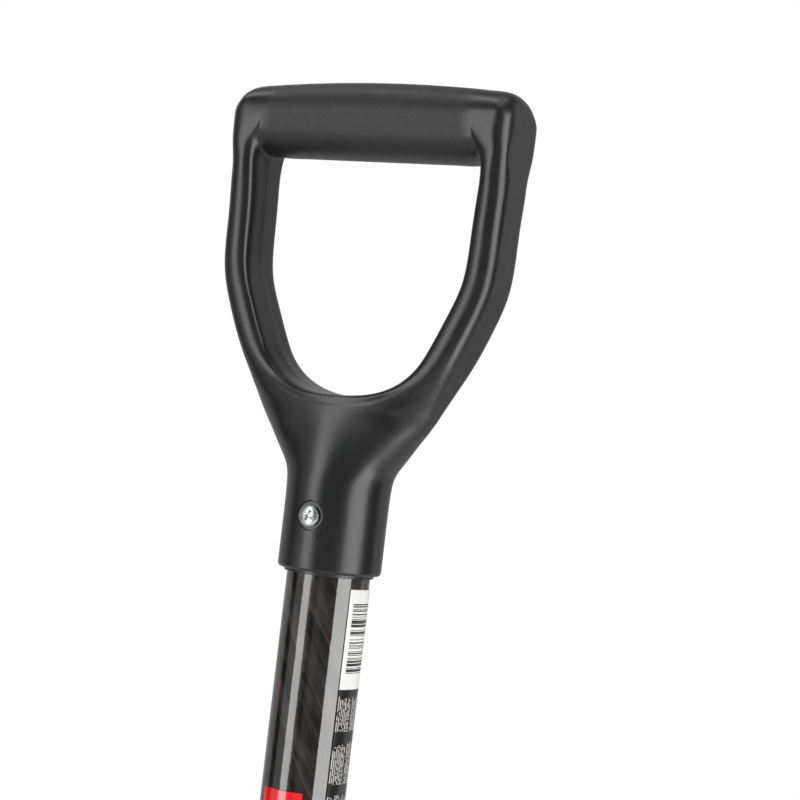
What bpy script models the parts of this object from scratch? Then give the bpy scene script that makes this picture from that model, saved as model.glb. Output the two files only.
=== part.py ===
"""Round point digging shovel with a moulded D-handle, upright, blade point down.

Units are metres. +Z runs up the shaft from the blade's point to the D-handle, -Y is the front,
where the blade is hollow and the handle's screw sits. The origin is the middle of the handle's
crossbar, where a hand or a hook holds the tool.
"""
import math

import bmesh
import bpy
from mathutils import Matrix, Vector

# Gap between touching pieces
GAP = 0.0003

# Shaft
SHAFT_RADIUS = 0.018
SHAFT_WALL = 0.0025
SHAFT_LENGTH = 0.731
PLUG_LENGTH = 0.060
PLUG_CHAMFER = 0.0015

# D-handle, heights measured up from the rim of its socket
SLEEVE_WALL = 0.0006
SLEEVE_SHOWS = 0.0013
SLEEVE_BELOW_SHAFT_TOP = 0.002
HANDLE_WALL = 0.0032
SHAFT_SEAT = 0.045
SOCKET_STRAIGHT = 0.041
RIM_ROUND = 0.0015
GRIP_WIDTH = 0.137
GRIP_AXIS_HEIGHT = 0.1947
GRIP_RADIUS_TOP = 0.0172
GRIP_RADIUS_BOTTOM = 0.01685
GRIP_RADIUS_FRONT = 0.0170
GRIP_END_THINNING = 0.0031
GRIP_CORNER = 0.011
OPENING_WIDTH = 0.1094
OPENING_BOTTOM = 0.0755
ARM_WIDTH = 0.0119
ARM_DEPTH = 0.026
ARM_ROUND = 0.004
FORK_RISE = 0.0110
FORK_SPREAD = 0.0088
OPENING_TOP_FLARE = 0.0012
ARM_FILLET = 0.0055
END_ROUND = 0.0016
END_SIDE_ROUND = 0.0005

# Handle screw, its height measured up from the rim
SCREW_HEIGHT = 0.0233
SCREW_HEAD_RADIUS = 0.0045
SCREW_HEAD_HEIGHT = 0.0021
SCREW_SHANK_RADIUS = 0.0022
SCREW_LENGTH = 0.026
SCREW_POINT = 0.004
COUNTERBORE_RADIUS = 0.0064
COUNTERBORE_DEPTH = 0.0012
RECESS_LENGTH = 0.0050
RECESS_WIDTH = 0.0011
RECESS_DEPTH = 0.0012
HOLE_CLEARANCE = 0.0004

# Labels, angles measured about the shaft from the front towards +X
LABEL_THICKNESS = 0.0002
INFO_LABEL_DROP = 0.0060
INFO_LABEL_LENGTH = 0.110
INFO_LABEL_START = math.radians(63.5)
INFO_LABEL_SPAN = math.radians(60.0)
RED_LABEL_DROP = 0.0934
RED_LABEL_LENGTH = 0.200
RED_LABEL_START = math.radians(-31.5)
RED_LABEL_SPAN = math.radians(61.5)

# Blade
BLADE_LENGTH = 0.290
BLADE_WIDTH = 0.214
BLADE_TOP_WIDTH = 0.206
BLADE_SHOULDER = 0.155
BLADE_THICKNESS = 0.0020
BLADE_DISH = 0.026
BLADE_BOW = 0.006
BLADE_SET_BACK = 0.002
TIP_WIDTH = 0.020

# Foot treads
TREAD_DEPTH = 0.018
TREAD_THICKNESS = 0.0028
TREAD_OVERHANG = 0.002
TREAD_END_INSET = 0.003
TREAD_SOCKET_CLEARANCE = 0.003
TREAD_ROUND = 0.0008

# Steel socket that joins the shaft to the blade
SOCKET_WALL = 0.0018
SOCKET_GRIP = 0.118
SOCKET_BEAD = 0.0013
SOCKET_SEAT = 0.0015
SHAFT_ABOVE_BLADE = 0.012
NOSE_BELOW_EDGE = 0.098
NOSE_RADIUS = 0.006

# Rivets through the steel socket
RIVET_SHANK_RADIUS = 0.0030
RIVET_HEAD_RADIUS = 0.0058
RIVET_HEAD_HEIGHT = 0.0024
RIVET_TAIL_RADIUS = 0.0050
RIVET_TAIL_HEIGHT = 0.0020
RIVET_LOWER_HEIGHT = 0.034
RIVET_SPACING = 0.050

# Counts
ROUND_STEPS = 40
SMALL_STEPS = 20
BLADE_ROWS = 16
BLADE_COLUMNS = 10
TAPER_ROWS = 7

# Sizes that follow from the ones above
BORE_RADIUS = SHAFT_RADIUS + GAP + SLEEVE_WALL + GAP
HANDLE_SOCKET_RADIUS = BORE_RADIUS + HANDLE_WALL
HANDLE_RIM = -GRIP_AXIS_HEIGHT
SHAFT_TOP = HANDLE_RIM + SHAFT_SEAT
SHAFT_BOTTOM = SHAFT_TOP - SHAFT_LENGTH
BLADE_TOP = SHAFT_BOTTOM - SHAFT_ABOVE_BLADE
BLADE_POINT = BLADE_TOP - BLADE_LENGTH
SCREW_LEVEL = HANDLE_RIM + SCREW_HEIGHT
SCREW_SEAT = HANDLE_SOCKET_RADIUS - COUNTERBORE_DEPTH
SCREW_HOLE_RADIUS = SCREW_SHANK_RADIUS + HOLE_CLEARANCE
SOCKET_BORE = SHAFT_RADIUS + GAP
SOCKET_RADIUS = SOCKET_BORE + SOCKET_WALL
SOCKET_MOUTH = SHAFT_BOTTOM + SOCKET_GRIP
SOCKET_NOSE = BLADE_TOP - NOSE_BELOW_EDGE
RIVET_LEVELS = {
    "socket_rivet_lower": SHAFT_BOTTOM + RIVET_LOWER_HEIGHT,
    "socket_rivet_upper": SHAFT_BOTTOM + RIVET_LOWER_HEIGHT + RIVET_SPACING,
}
RIVET_HOLE_RADIUS = RIVET_SHANK_RADIUS + HOLE_CLEARANCE

# Inner edge of the D, as shares of half the opening's width and of its height
OPENING_OUTLINE = [
    (1.014, 0.885),
    (1.000, 0.720),
    (0.986, 0.535),
    (0.908, 0.388),
    (0.787, 0.240),
    (0.670, 0.142),
    (0.526, 0.068),
    (0.352, 0.024),
    (0.176, 0.005),
    (0.000, 0.000),
]
ARM_STATIONS = 6
FLANK_SHARE = 0.66

# Angles of the crossbar's section, from its underside round its front to its top
GRIP_DEGREES = (0.0, 32.0, 49.0, 68.0, 90.0, 112.0, 135.0, 157.5, 180.0)

# Rows of the crossbar's end face, as shares of its radius above the middle, and their place to the front
END_ROWS = (-0.62, -0.16, 0.16)
END_ROW_FRONT_SHARE = 0.50
END_SHRINK_SHARE = 0.90

# Angles of the points round a quarter of the socket, where they leave the fork and evenly spaced
FORK_DEGREES = (0.0, 42.0, 56.0, 70.0, 90.0)
SOCKET_DEGREES = (0.0, 22.5, 45.0, 67.5, 90.0)

# Sections of the fork: share of the way to round, then the heights of its middle and of its side
# above the straight part of the socket, in rises
FORK_SECTIONS = [
    (0.15, 2.30, 1.52),
    (0.42, 1.60, 1.00),
    (0.74, 0.90, 0.53),
    (0.97, 0.25, 0.12),
]


def clear_scene():
    """Remove every object of the scene the script is run in."""
    for obj in list(bpy.data.objects):
        bpy.data.objects.remove(obj, do_unlink=True)


def new_collection(name):
    collection = bpy.data.collections.new(name)
    bpy.context.scene.collection.children.link(collection)
    return collection


def make_material(name, color, roughness, metallic=0.0, coat=0.0):
    material = bpy.data.materials.new(name)
    material.use_nodes = True
    shader = material.node_tree.nodes["Principled BSDF"]
    shader.inputs["Base Color"].default_value = (*color, 1.0)
    shader.inputs["Roughness"].default_value = roughness
    shader.inputs["Metallic"].default_value = metallic
    shader.inputs["Coat Weight"].default_value = coat
    material.diffuse_color = (*color, 1.0)
    return material


def object_from_bmesh(name, bm, collection, smooth=True):
    """Turn a bmesh into an object with outward normals and crisp edges over 35 degrees."""
    bmesh.ops.recalc_face_normals(bm, faces=bm.faces)
    mesh = bpy.data.meshes.new(name)
    bm.to_mesh(mesh)
    bm.free()
    if smooth:
        mesh.shade_smooth()
        mesh.set_sharp_from_angle(angle=math.radians(35))
    obj = bpy.data.objects.new(name, mesh)
    collection.objects.link(obj)
    return obj


def turned(name, profile, collection, steps=ROUND_STEPS):
    """Turn a profile of (radius, height) points, top to bottom down its outer side, about Z."""
    bm = bmesh.new()
    verts = [bm.verts.new((radius, 0.0, height)) for radius, height in profile]
    for first, second in zip(verts, verts[1:]):
        bm.edges.new((first, second))
    if profile[0][0] > 0.0:
        bm.edges.new((verts[-1], verts[0]))
    mesh = bpy.data.meshes.new(name)
    bm.to_mesh(mesh)
    bm.free()
    obj = bpy.data.objects.new(name, mesh)
    collection.objects.link(obj)
    screw = obj.modifiers.new("turn", "SCREW")
    screw.axis = "Z"
    screw.steps = steps
    screw.render_steps = steps
    screw.use_merge_vertices = True
    screw.merge_threshold = 0.00001
    screw.use_smooth_shade = True
    return obj


def cylinder_along_y(name, radius, y_from, y_to, height, collection, steps=SMALL_STEPS):
    """A cylinder parallel to Y that crosses the shaft's axis at the given height."""
    bm = bmesh.new()
    place = Matrix.Translation((0.0, (y_from + y_to) / 2, height)) @ Matrix.Rotation(math.pi / 2, 4, "X")
    bmesh.ops.create_cone(
        bm, cap_ends=True, segments=steps, radius1=radius, radius2=radius,
        depth=abs(y_to - y_from), matrix=place,
    )
    return object_from_bmesh(name, bm, collection)


def hide_tool(obj):
    obj.hide_render = True
    obj.display_type = "WIRE"


def combine(obj, tool, operation="DIFFERENCE"):
    """Cut the tool out of the object, or join it on."""
    boolean = obj.modifiers.new(operation.lower(), "BOOLEAN")
    boolean.operation = operation
    boolean.object = tool
    boolean.solver = "EXACT"
    hide_tool(tool)


def arm_ring(inner, outer, depth, rounding):
    """Front half of a section of the D's arm, from its inner side round to its outer side."""
    inner, outer = Vector(inner), Vector(outer)
    across = (outer - inner).normalized()
    width = (outer - inner).length
    half = depth / 2
    corner = rounding * (1 - math.sqrt(0.5))
    places = [
        (0.0, 0.0),
        (0.0, half - rounding),
        (corner, half - corner),
        (rounding, half),
        (width - rounding, half),
        (width - corner, half - corner),
        (width, half - rounding),
        (width, 0.0),
    ]
    ring = []
    for step, front in places:
        point = inner + across * step
        ring.append(Vector((point.x, -front, point.y)))
    return ring


def fork_ring(share, centre_height, side_height):
    """Front quarter of a section below the opening, from the middle of its front to its side.

    The share runs from 0, the two arms side by side, to 1, the round socket.
    """
    half_width = HANDLE_SOCKET_RADIUS + FORK_SPREAD
    half_depth = ARM_DEPTH / 2
    corner = ARM_ROUND * (1 - math.sqrt(0.5))
    flat = [
        (0.0, half_depth),
        (half_width - ARM_ROUND, half_depth),
        (half_width - corner, half_depth - corner),
        (half_width, half_depth - ARM_ROUND),
        (half_width, 0.0),
    ]
    ring = []
    for (across, front), degrees in zip(flat, FORK_DEGREES):
        angle = math.radians(degrees)
        x = across + (HANDLE_SOCKET_RADIUS * math.sin(angle) - across) * share
        y = front + (HANDLE_SOCKET_RADIUS * math.cos(angle) - front) * share
        height = centre_height + (side_height - centre_height) * (across / half_width)
        ring.append(Vector((x, -y if degrees < 90.0 else 0.0, height)))
    return ring


def socket_ring(radius, height, evenness):
    """Front quarter of the round socket, its points evenly spaced where evenness is 1."""
    ring = []
    for uneven, even in zip(FORK_DEGREES, SOCKET_DEGREES):
        angle = math.radians(uneven + (even - uneven) * evenness)
        y = -radius * math.cos(angle) if even < 90.0 else 0.0
        ring.append(Vector((radius * math.sin(angle), y, height)))
    return ring


def grip_section(x):
    """Front half of the crossbar's section at x, from its underside round to its top."""
    thinning = GRIP_END_THINNING * (abs(x) / (GRIP_WIDTH / 2)) ** 2
    corner_start = GRIP_WIDTH / 2 - GRIP_CORNER
    into_corner = min(max(x - corner_start, 0.0), GRIP_CORNER)
    drop = GRIP_CORNER - math.sqrt(GRIP_CORNER**2 - into_corner**2)
    section = []
    for degrees in GRIP_DEGREES:
        angle = math.radians(degrees)
        rise = GRIP_RADIUS_BOTTOM if degrees < 90.0 else GRIP_RADIUS_TOP - thinning
        y = -GRIP_RADIUS_FRONT * math.sin(angle)
        z = GRIP_AXIS_HEIGHT - rise * math.cos(angle)
        if degrees > 90.0:
            z -= drop * -math.cos(angle)
        section.append(Vector((x, y, z)))
    return section


def opening_points():
    """Inner edge of the D, from below the crossbar down to the bottom of the opening."""
    half_width = OPENING_WIDTH / 2
    height = GRIP_AXIS_HEIGHT - GRIP_RADIUS_BOTTOM - OPENING_BOTTOM
    return [Vector((across * half_width, OPENING_BOTTOM + up * height)) for across, up in OPENING_OUTLINE]


def flank_points(inner):
    """Outer edge of the D beside each inner point: a steady arm, then a straight flank."""
    outer = []
    for index in range(ARM_STATIONS):
        before = inner[max(index - 1, 0)]
        after = inner[index + 1]
        along = (after - before).normalized()
        outer.append(inner[index] + Vector((-along.y, along.x)) * ARM_WIDTH)
    last = outer[-1]
    foot = Vector((HANDLE_SOCKET_RADIUS + FORK_SPREAD / 2, SOCKET_STRAIGHT + FORK_RISE))
    steps = len(inner) - ARM_STATIONS
    for step in range(1, steps + 1):
        outer.append(last.lerp(foot, FLANK_SHARE * step / steps))
    return outer


def add_strip(bm, first, second):
    """Faces between two rows of vertices, a triangle where the rows share a vertex."""
    for a, b, c, d in zip(first, first[1:], second[1:], second):
        corners = []
        for vert in (a, b, c, d):
            if vert not in corners:
                corners.append(vert)
        if len(corners) > 2:
            bm.faces.new(corners)


def handle_cage():
    """A quarter of the D-handle's coarse cage: right half, front half, rim at height zero."""
    bm = bmesh.new()

    def row(points):
        return [bm.verts.new(point) for point in points]

    # Crossbar, from the middle out to the rounded corner of its end
    inside = OPENING_WIDTH / 2 + OPENING_TOP_FLARE
    outside = GRIP_WIDTH / 2
    stations = [
        0.0,
        0.36 * inside,
        0.68 * inside,
        inside - ARM_FILLET,
        inside - 0.15 * ARM_FILLET,
        inside + 0.92 * ARM_ROUND,
        outside - 1.2 * ARM_ROUND,
    ]
    rows = [row(grip_section(x)) for x in stations]
    corner = []
    for index, point in enumerate(grip_section(outside - END_ROUND)):
        middle = Vector((point.x, 0.0, GRIP_AXIS_HEIGHT))
        pulled = middle + (point - middle) * END_SHRINK_SHARE
        if index < 2:
            pulled = Vector((outside - END_SIDE_ROUND, point.y, point.z))
        corner.append(pulled)
    rows.append(row(corner))
    hole_from = len(rows) - 4
    for index in range(len(rows) - 1):
        first, second = rows[index], rows[index + 1]
        if index < hole_from:
            add_strip(bm, first, second)
        else:
            add_strip(bm, first[2:], second[2:])

    # End face of the crossbar
    rim = rows[-1]
    middle_column = [rim[0]]
    side_column = [rim[1]]
    side = -END_ROW_FRONT_SHARE * GRIP_RADIUS_FRONT
    for share in END_ROWS:
        height = GRIP_AXIS_HEIGHT + share * GRIP_RADIUS_FRONT
        middle_column.append(bm.verts.new((outside, 0.0, height)))
        side_column.append(bm.verts.new((outside - END_SIDE_ROUND, side, height)))
    middle_column.append(rim[8])
    side_column.append(rim[7])
    add_strip(bm, middle_column, side_column)
    add_strip(bm, side_column, rim[2:7])

    # Arm, from the crossbar's underside down to the fork
    inner = opening_points()
    outer = flank_points(inner)
    hole = [rows[hole_from][0], rows[hole_from][1], rows[hole_from][2], rows[hole_from + 1][2],
            rows[hole_from + 2][2], rim[2], rim[1], rim[0]]
    above = hole
    for low, high in zip(inner, outer):
        ring = arm_ring(low, high, ARM_DEPTH, ARM_ROUND)
        if low.x == 0.0:
            for point in ring[:4]:
                point.x = 0.0
        current = row(ring)
        add_strip(bm, above, current)
        above = current

    # Fork and socket, from the fork's front down to the rim
    radius = HANDLE_SOCKET_RADIUS
    straight = SOCKET_STRAIGHT
    above = above[3:]
    rings = []
    for share, centre, flank in FORK_SECTIONS:
        rings.append(fork_ring(share, straight + centre * FORK_RISE, straight + flank * FORK_RISE))
    rings += [
        socket_ring(radius, straight - 0.50 * FORK_RISE, 0.25),
        socket_ring(radius, 0.55 * straight, 0.75),
        socket_ring(radius, 0.25 * straight, 1.0),
        socket_ring(radius, 2.0 * RIM_ROUND, 1.0),
        socket_ring(radius - 0.3 * RIM_ROUND, 0.3 * RIM_ROUND, 1.0),
        socket_ring(radius - 1.3 * RIM_ROUND, 0.0, 1.0),
        socket_ring(0.6 * radius, 0.0, 1.0),
    ]
    for ring in rings:
        current = row(ring)
        add_strip(bm, above, current)
        above = current
    centre = bm.verts.new((0.0, 0.0, 0.0))
    bm.faces.new([centre, above[0], above[1], above[2]])
    bm.faces.new([centre, above[2], above[3], above[4]])
    return bm


def settle_cage(obj, rounds=10):
    """Move the cage out until its smoothed surface passes through the points it was given."""
    goals = [vert.co.copy() for vert in obj.data.vertices]
    for _ in range(rounds):
        bpy.context.view_layer.update()
        evaluated = obj.evaluated_get(bpy.context.evaluated_depsgraph_get())
        smooth = evaluated.to_mesh()
        places = [smooth.vertices[index].co.copy() for index in range(len(goals))]
        evaluated.to_mesh_clear()
        for vert, goal, place in zip(obj.data.vertices, goals, places):
            step = goal - place
            if goal.x == 0.0:
                step.x = 0.0
            if goal.y == 0.0:
                step.y = 0.0
            vert.co += step
        obj.data.update()


def build_handle(parts, tools):
    """Moulded D-handle: crossbar, two arms and the socket that the shaft goes up into."""
    handle = object_from_bmesh("d_handle", handle_cage(), parts)
    mirror = handle.modifiers.new("mirror", "MIRROR")
    mirror.use_axis = (True, True, False)
    mirror.use_clip = True
    mirror.merge_threshold = 0.00001
    smooth = handle.modifiers.new("smooth", "SUBSURF")
    smooth.levels = 1
    smooth.render_levels = 1
    settle_cage(handle)
    handle.location.z = HANDLE_RIM

    bore = turned("handle_bore_tool", [
        (0.0, SHAFT_TOP + GAP),
        (BORE_RADIUS, SHAFT_TOP + GAP),
        (BORE_RADIUS, HANDLE_RIM - BORE_RADIUS),
        (0.0, HANDLE_RIM - BORE_RADIUS),
    ], tools)
    combine(handle, bore)
    seat = cylinder_along_y("counterbore_tool", COUNTERBORE_RADIUS, -SCREW_SEAT,
                            -HANDLE_SOCKET_RADIUS - SCREW_HEAD_HEIGHT, SCREW_LEVEL, tools, ROUND_STEPS)
    combine(handle, seat)
    combine(handle, screw_hole_tool("handle_screw_hole_tool", tools))
    handle.data.materials.append(make_material("handle_plastic", (0.018, 0.018, 0.020), 0.42))
    return handle


def screw_hole_tool(name, tools):
    """Cutter for the handle screw's way in, from the front to past the screw's point."""
    depth = SCREW_SEAT - SCREW_LENGTH - 2 * GAP
    return cylinder_along_y(name, SCREW_HOLE_RADIUS, -HANDLE_SOCKET_RADIUS - SCREW_HEAD_HEIGHT, -depth,
                            SCREW_LEVEL, tools)


def build_sleeve(parts, tools):
    """Thin sleeve between the shaft and the handle. Its edge shows below the handle's rim."""
    inner = SHAFT_RADIUS + GAP
    outer = inner + SLEEVE_WALL
    top = SHAFT_TOP - SLEEVE_BELOW_SHAFT_TOP
    bottom = HANDLE_RIM - SLEEVE_SHOWS
    sleeve = turned("handle_sleeve", [(outer, top), (outer, bottom), (inner, bottom), (inner, top)], parts)
    combine(sleeve, cylinder_along_y("sleeve_hole_tool", SCREW_HOLE_RADIUS, -BORE_RADIUS - GAP, 0.0,
                                     SCREW_LEVEL, tools))
    sleeve.data.materials.append(make_material("sleeve_plastic", (0.012, 0.012, 0.013), 0.50))
    return sleeve


def build_screw(parts, tools):
    """Pan head screw with a cross recess, through the handle and the shaft into the top plug."""
    head = SCREW_HEAD_HEIGHT
    shank = -SCREW_LENGTH
    screw = turned("handle_screw", [
        (0.0, head),
        (0.55 * SCREW_HEAD_RADIUS, head),
        (0.86 * SCREW_HEAD_RADIUS, 0.72 * head),
        (SCREW_HEAD_RADIUS, 0.30 * head),
        (SCREW_HEAD_RADIUS, 0.0),
        (SCREW_SHANK_RADIUS, 0.0),
        (SCREW_SHANK_RADIUS, shank + SCREW_POINT),
        (0.0, shank),
    ], parts, SMALL_STEPS)
    screw.location = (0.0, -SCREW_SEAT - GAP, SCREW_LEVEL)
    screw.rotation_euler = (math.pi / 2, 0.0, 0.0)
    top = SCREW_SEAT + GAP + head
    for name, size in {
        "recess_upright_tool": (RECESS_WIDTH, RECESS_LENGTH),
        "recess_level_tool": (RECESS_LENGTH, RECESS_WIDTH),
    }.items():
        bm = bmesh.new()
        scale = Matrix.Diagonal((size[0], 2 * RECESS_DEPTH, size[1], 1.0))
        bmesh.ops.create_cube(bm, size=1.0, matrix=Matrix.Translation((0.0, -top, SCREW_LEVEL)) @ scale)
        combine(screw, object_from_bmesh(name, bm, tools, smooth=False))
    screw.data.materials.append(make_material("screw_zinc", (0.62, 0.63, 0.65), 0.28, 1.0))
    return screw


def build_shaft(parts, tools):
    """Hollow composite shaft, drilled for the handle screw and the two rivets."""
    inner = SHAFT_RADIUS - SHAFT_WALL
    shaft = turned("shaft_tube", [
        (SHAFT_RADIUS, SHAFT_TOP),
        (SHAFT_RADIUS, SHAFT_BOTTOM),
        (inner, SHAFT_BOTTOM),
        (inner, SHAFT_TOP),
    ], parts)
    combine(shaft, cylinder_along_y("shaft_screw_hole_tool", SCREW_HOLE_RADIUS, -BORE_RADIUS, 0.0,
                                    SCREW_LEVEL, tools))
    for name, level in RIVET_LEVELS.items():
        combine(shaft, cylinder_along_y(f"shaft_{name}_tool", RIVET_HOLE_RADIUS, -SOCKET_RADIUS,
                                        SOCKET_RADIUS, level, tools))
    shaft.data.materials.append(make_material("shaft_composite", (0.020, 0.016, 0.014), 0.25, coat=0.8))
    return shaft


def plug_profile(bottom, top):
    radius = SHAFT_RADIUS - SHAFT_WALL - GAP
    return [
        (0.0, top),
        (radius - PLUG_CHAMFER, top),
        (radius, top - PLUG_CHAMFER),
        (radius, bottom + PLUG_CHAMFER),
        (radius - PLUG_CHAMFER, bottom),
        (0.0, bottom),
    ]


def build_plugs(parts, tools):
    """Wooden plugs inside the shaft's ends, which the screw and the rivets bite on."""
    wood = make_material("plug_wood", (0.48, 0.33, 0.18), 0.7)
    top = turned("shaft_top_plug", plug_profile(SHAFT_TOP - PLUG_LENGTH, SHAFT_TOP), parts)
    combine(top, screw_hole_tool("plug_screw_hole_tool", tools))
    length = RIVET_LOWER_HEIGHT + RIVET_SPACING + 4 * RIVET_SHANK_RADIUS
    bottom = turned("shaft_bottom_plug", plug_profile(SHAFT_BOTTOM, SHAFT_BOTTOM + length), parts)
    for name, level in RIVET_LEVELS.items():
        combine(bottom, cylinder_along_y(f"plug_{name}_tool", RIVET_HOLE_RADIUS, -SHAFT_RADIUS, SHAFT_RADIUS,
                                         level, tools))
    for plug in (top, bottom):
        plug.data.materials.append(wood)
    return top, bottom


def build_label(name, drop, length, start, span, color, parts):
    """A thin film that lies on the shaft, its top edge a given way below the handle's rim."""
    radius = SHAFT_RADIUS + GAP
    top = HANDLE_RIM - drop
    steps = max(4, round(math.degrees(span) / 7.5))
    bm = bmesh.new()
    columns = []
    for step in range(steps + 1):
        angle = start + span * step / steps
        x, y = radius * math.sin(angle), -radius * math.cos(angle)
        columns.append((bm.verts.new((x, y, top)), bm.verts.new((x, y, top - length))))
    for left, right in zip(columns, columns[1:]):
        bm.faces.new((left[0], left[1], right[1], right[0]))
    label = object_from_bmesh(name, bm, parts)
    solidify = label.modifiers.new("film", "SOLIDIFY")
    solidify.thickness = LABEL_THICKNESS
    solidify.offset = 1.0
    label.data.materials.append(make_material(f"{name}_film", color, 0.3))
    return label


def blade_half_width(height):
    """Half the blade's width at a height: a rounded point, then sides that close in slowly."""
    tip, shoulder, top = TIP_WIDTH / 2, BLADE_WIDTH / 2, BLADE_TOP_WIDTH / 2
    if height < BLADE_SHOULDER:
        share = max(height, 0.0) / BLADE_SHOULDER
        return tip + (shoulder - tip) * math.sin(math.pi / 2 * share**0.78)
    share = (height - BLADE_SHOULDER) / (BLADE_LENGTH - BLADE_SHOULDER)
    return shoulder + (top - shoulder) * share**2


def blade_depth(x, height):
    """Y of the blade's middle surface, hollow towards the front."""
    bow = BLADE_BOW * math.sin(math.pi * height / BLADE_LENGTH)
    set_back = BLADE_SET_BACK * height / BLADE_LENGTH
    dish = BLADE_DISH * (x / (BLADE_WIDTH / 2)) ** 2
    return bow + set_back - dish


def blade_surface(name, thickness, collection):
    """The blade's dished plate, with its rows closer together near the point."""
    bm = bmesh.new()
    grid = []
    for step in range(BLADE_ROWS + 1):
        height = BLADE_LENGTH * (step / BLADE_ROWS) ** 1.3
        half = blade_half_width(height)
        row = []
        for column in range(BLADE_COLUMNS + 1):
            x = half * (2 * column / BLADE_COLUMNS - 1)
            row.append(bm.verts.new((x, blade_depth(x, height), height)))
        grid.append(row)
    for lower, upper in zip(grid, grid[1:]):
        add_strip(bm, lower, upper)
    plate = object_from_bmesh(name, bm, collection)
    plate.location.z = BLADE_POINT
    solidify = plate.modifiers.new("plate", "SOLIDIFY")
    solidify.thickness = thickness
    solidify.offset = 0.0
    return plate


def build_blade(parts):
    """Pressed steel blade with a rounded point, hollow towards the front."""
    return blade_surface("blade", BLADE_THICKNESS, parts)


def tread_outline(side):
    """Plan of a foot tread, which follows the blade's curved top edge."""
    inner = SOCKET_RADIUS + TREAD_SOCKET_CLEARANCE
    outer = BLADE_TOP_WIDTH / 2 - TREAD_END_INSET
    front, back = [], []
    for step in range(6):
        x = inner + (outer - inner) * step / 5
        edge = blade_depth(x, BLADE_LENGTH) - BLADE_THICKNESS / 2 - TREAD_OVERHANG
        front.append((side * x, edge))
        back.append((side * x, edge + TREAD_DEPTH))
    return front, back


def build_tread(name, side, parts):
    """Flat foot tread that lies along one half of the blade's top edge."""
    bm = bmesh.new()
    front, back = tread_outline(side)
    level = BLADE_TOP + GAP
    rows = [[bm.verts.new((x, y, level)) for x, y in line] for line in (front, back)]
    add_strip(bm, rows[0], rows[1])
    sides = bmesh.ops.extrude_face_region(bm, geom=bm.faces[:])
    raised = [item for item in sides["geom"] if isinstance(item, bmesh.types.BMVert)]
    bmesh.ops.translate(bm, verts=raised, vec=(0.0, 0.0, TREAD_THICKNESS))
    tread = object_from_bmesh(name, bm, parts, smooth=False)
    bevel = tread.modifiers.new("edges", "BEVEL")
    bevel.width = TREAD_ROUND
    bevel.segments = 1
    bevel.limit_method = "ANGLE"
    bevel.angle_limit = math.radians(40)
    return tread


def socket_outer_radius(height):
    """Outside radius of the steel socket: straight round the shaft, then a long taper."""
    start = SHAFT_BOTTOM - SOCKET_SEAT
    if height >= start:
        return SOCKET_RADIUS
    share = (start - height) / (start - SOCKET_NOSE)
    return NOSE_RADIUS + (SOCKET_RADIUS - NOSE_RADIUS) * math.cos(math.pi / 2 * share) ** 0.9


def build_socket(parts, tools):
    """Tapered steel socket. Its lower end is slotted over the blade, front and back."""
    seat = SHAFT_BOTTOM - GAP
    start = seat - SOCKET_SEAT
    taper = [start - (start - SOCKET_NOSE) * step / TAPER_ROWS for step in range(TAPER_ROWS + 1)]
    inside = [(SOCKET_BORE - SHAFT_WALL, start)]
    inside += [(socket_outer_radius(height) - SOCKET_WALL, height) for height in taper[1:-1]]
    profile = [(0.0, taper[-2])]
    profile += reversed(inside)
    profile += [
        (SOCKET_BORE - SHAFT_WALL, seat),
        (SOCKET_BORE, seat),
        (SOCKET_BORE, SOCKET_MOUTH),
        (SOCKET_RADIUS, SOCKET_MOUTH),
        (SOCKET_RADIUS + SOCKET_BEAD, SOCKET_MOUTH - SOCKET_BEAD),
        (SOCKET_RADIUS + SOCKET_BEAD, SOCKET_MOUTH - 3 * SOCKET_BEAD),
        (SOCKET_RADIUS, SOCKET_MOUTH - 4 * SOCKET_BEAD),
    ]
    profile += [(socket_outer_radius(height), height) for height in taper[:-1]]
    profile += [
        (0.75 * NOSE_RADIUS, SOCKET_NOSE - 0.25 * NOSE_RADIUS),
        (0.0, SOCKET_NOSE - 0.5 * NOSE_RADIUS),
    ]
    socket = turned("blade_socket", profile, parts)
    slot = blade_surface("blade_slot_tool", BLADE_THICKNESS + 2 * GAP, tools)
    slot.location.z += GAP
    combine(socket, slot)
    for name, level in RIVET_LEVELS.items():
        combine(socket, cylinder_along_y(f"socket_{name}_tool", RIVET_HOLE_RADIUS, -2 * SOCKET_RADIUS,
                                         2 * SOCKET_RADIUS, level, tools))
    return socket


def dome(name, radius, height, collection):
    """A rivet's domed end, thick enough to be cut to the socket's round side."""
    base = -0.5 * radius
    profile = [(0.0, height)]
    for degrees in (25, 50, 72):
        angle = math.radians(degrees)
        profile.append((radius * math.sin(angle), height * math.cos(angle)))
    profile += [(radius, 0.0), (radius, base), (0.0, base)]
    return turned(name, profile, collection, SMALL_STEPS)


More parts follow.
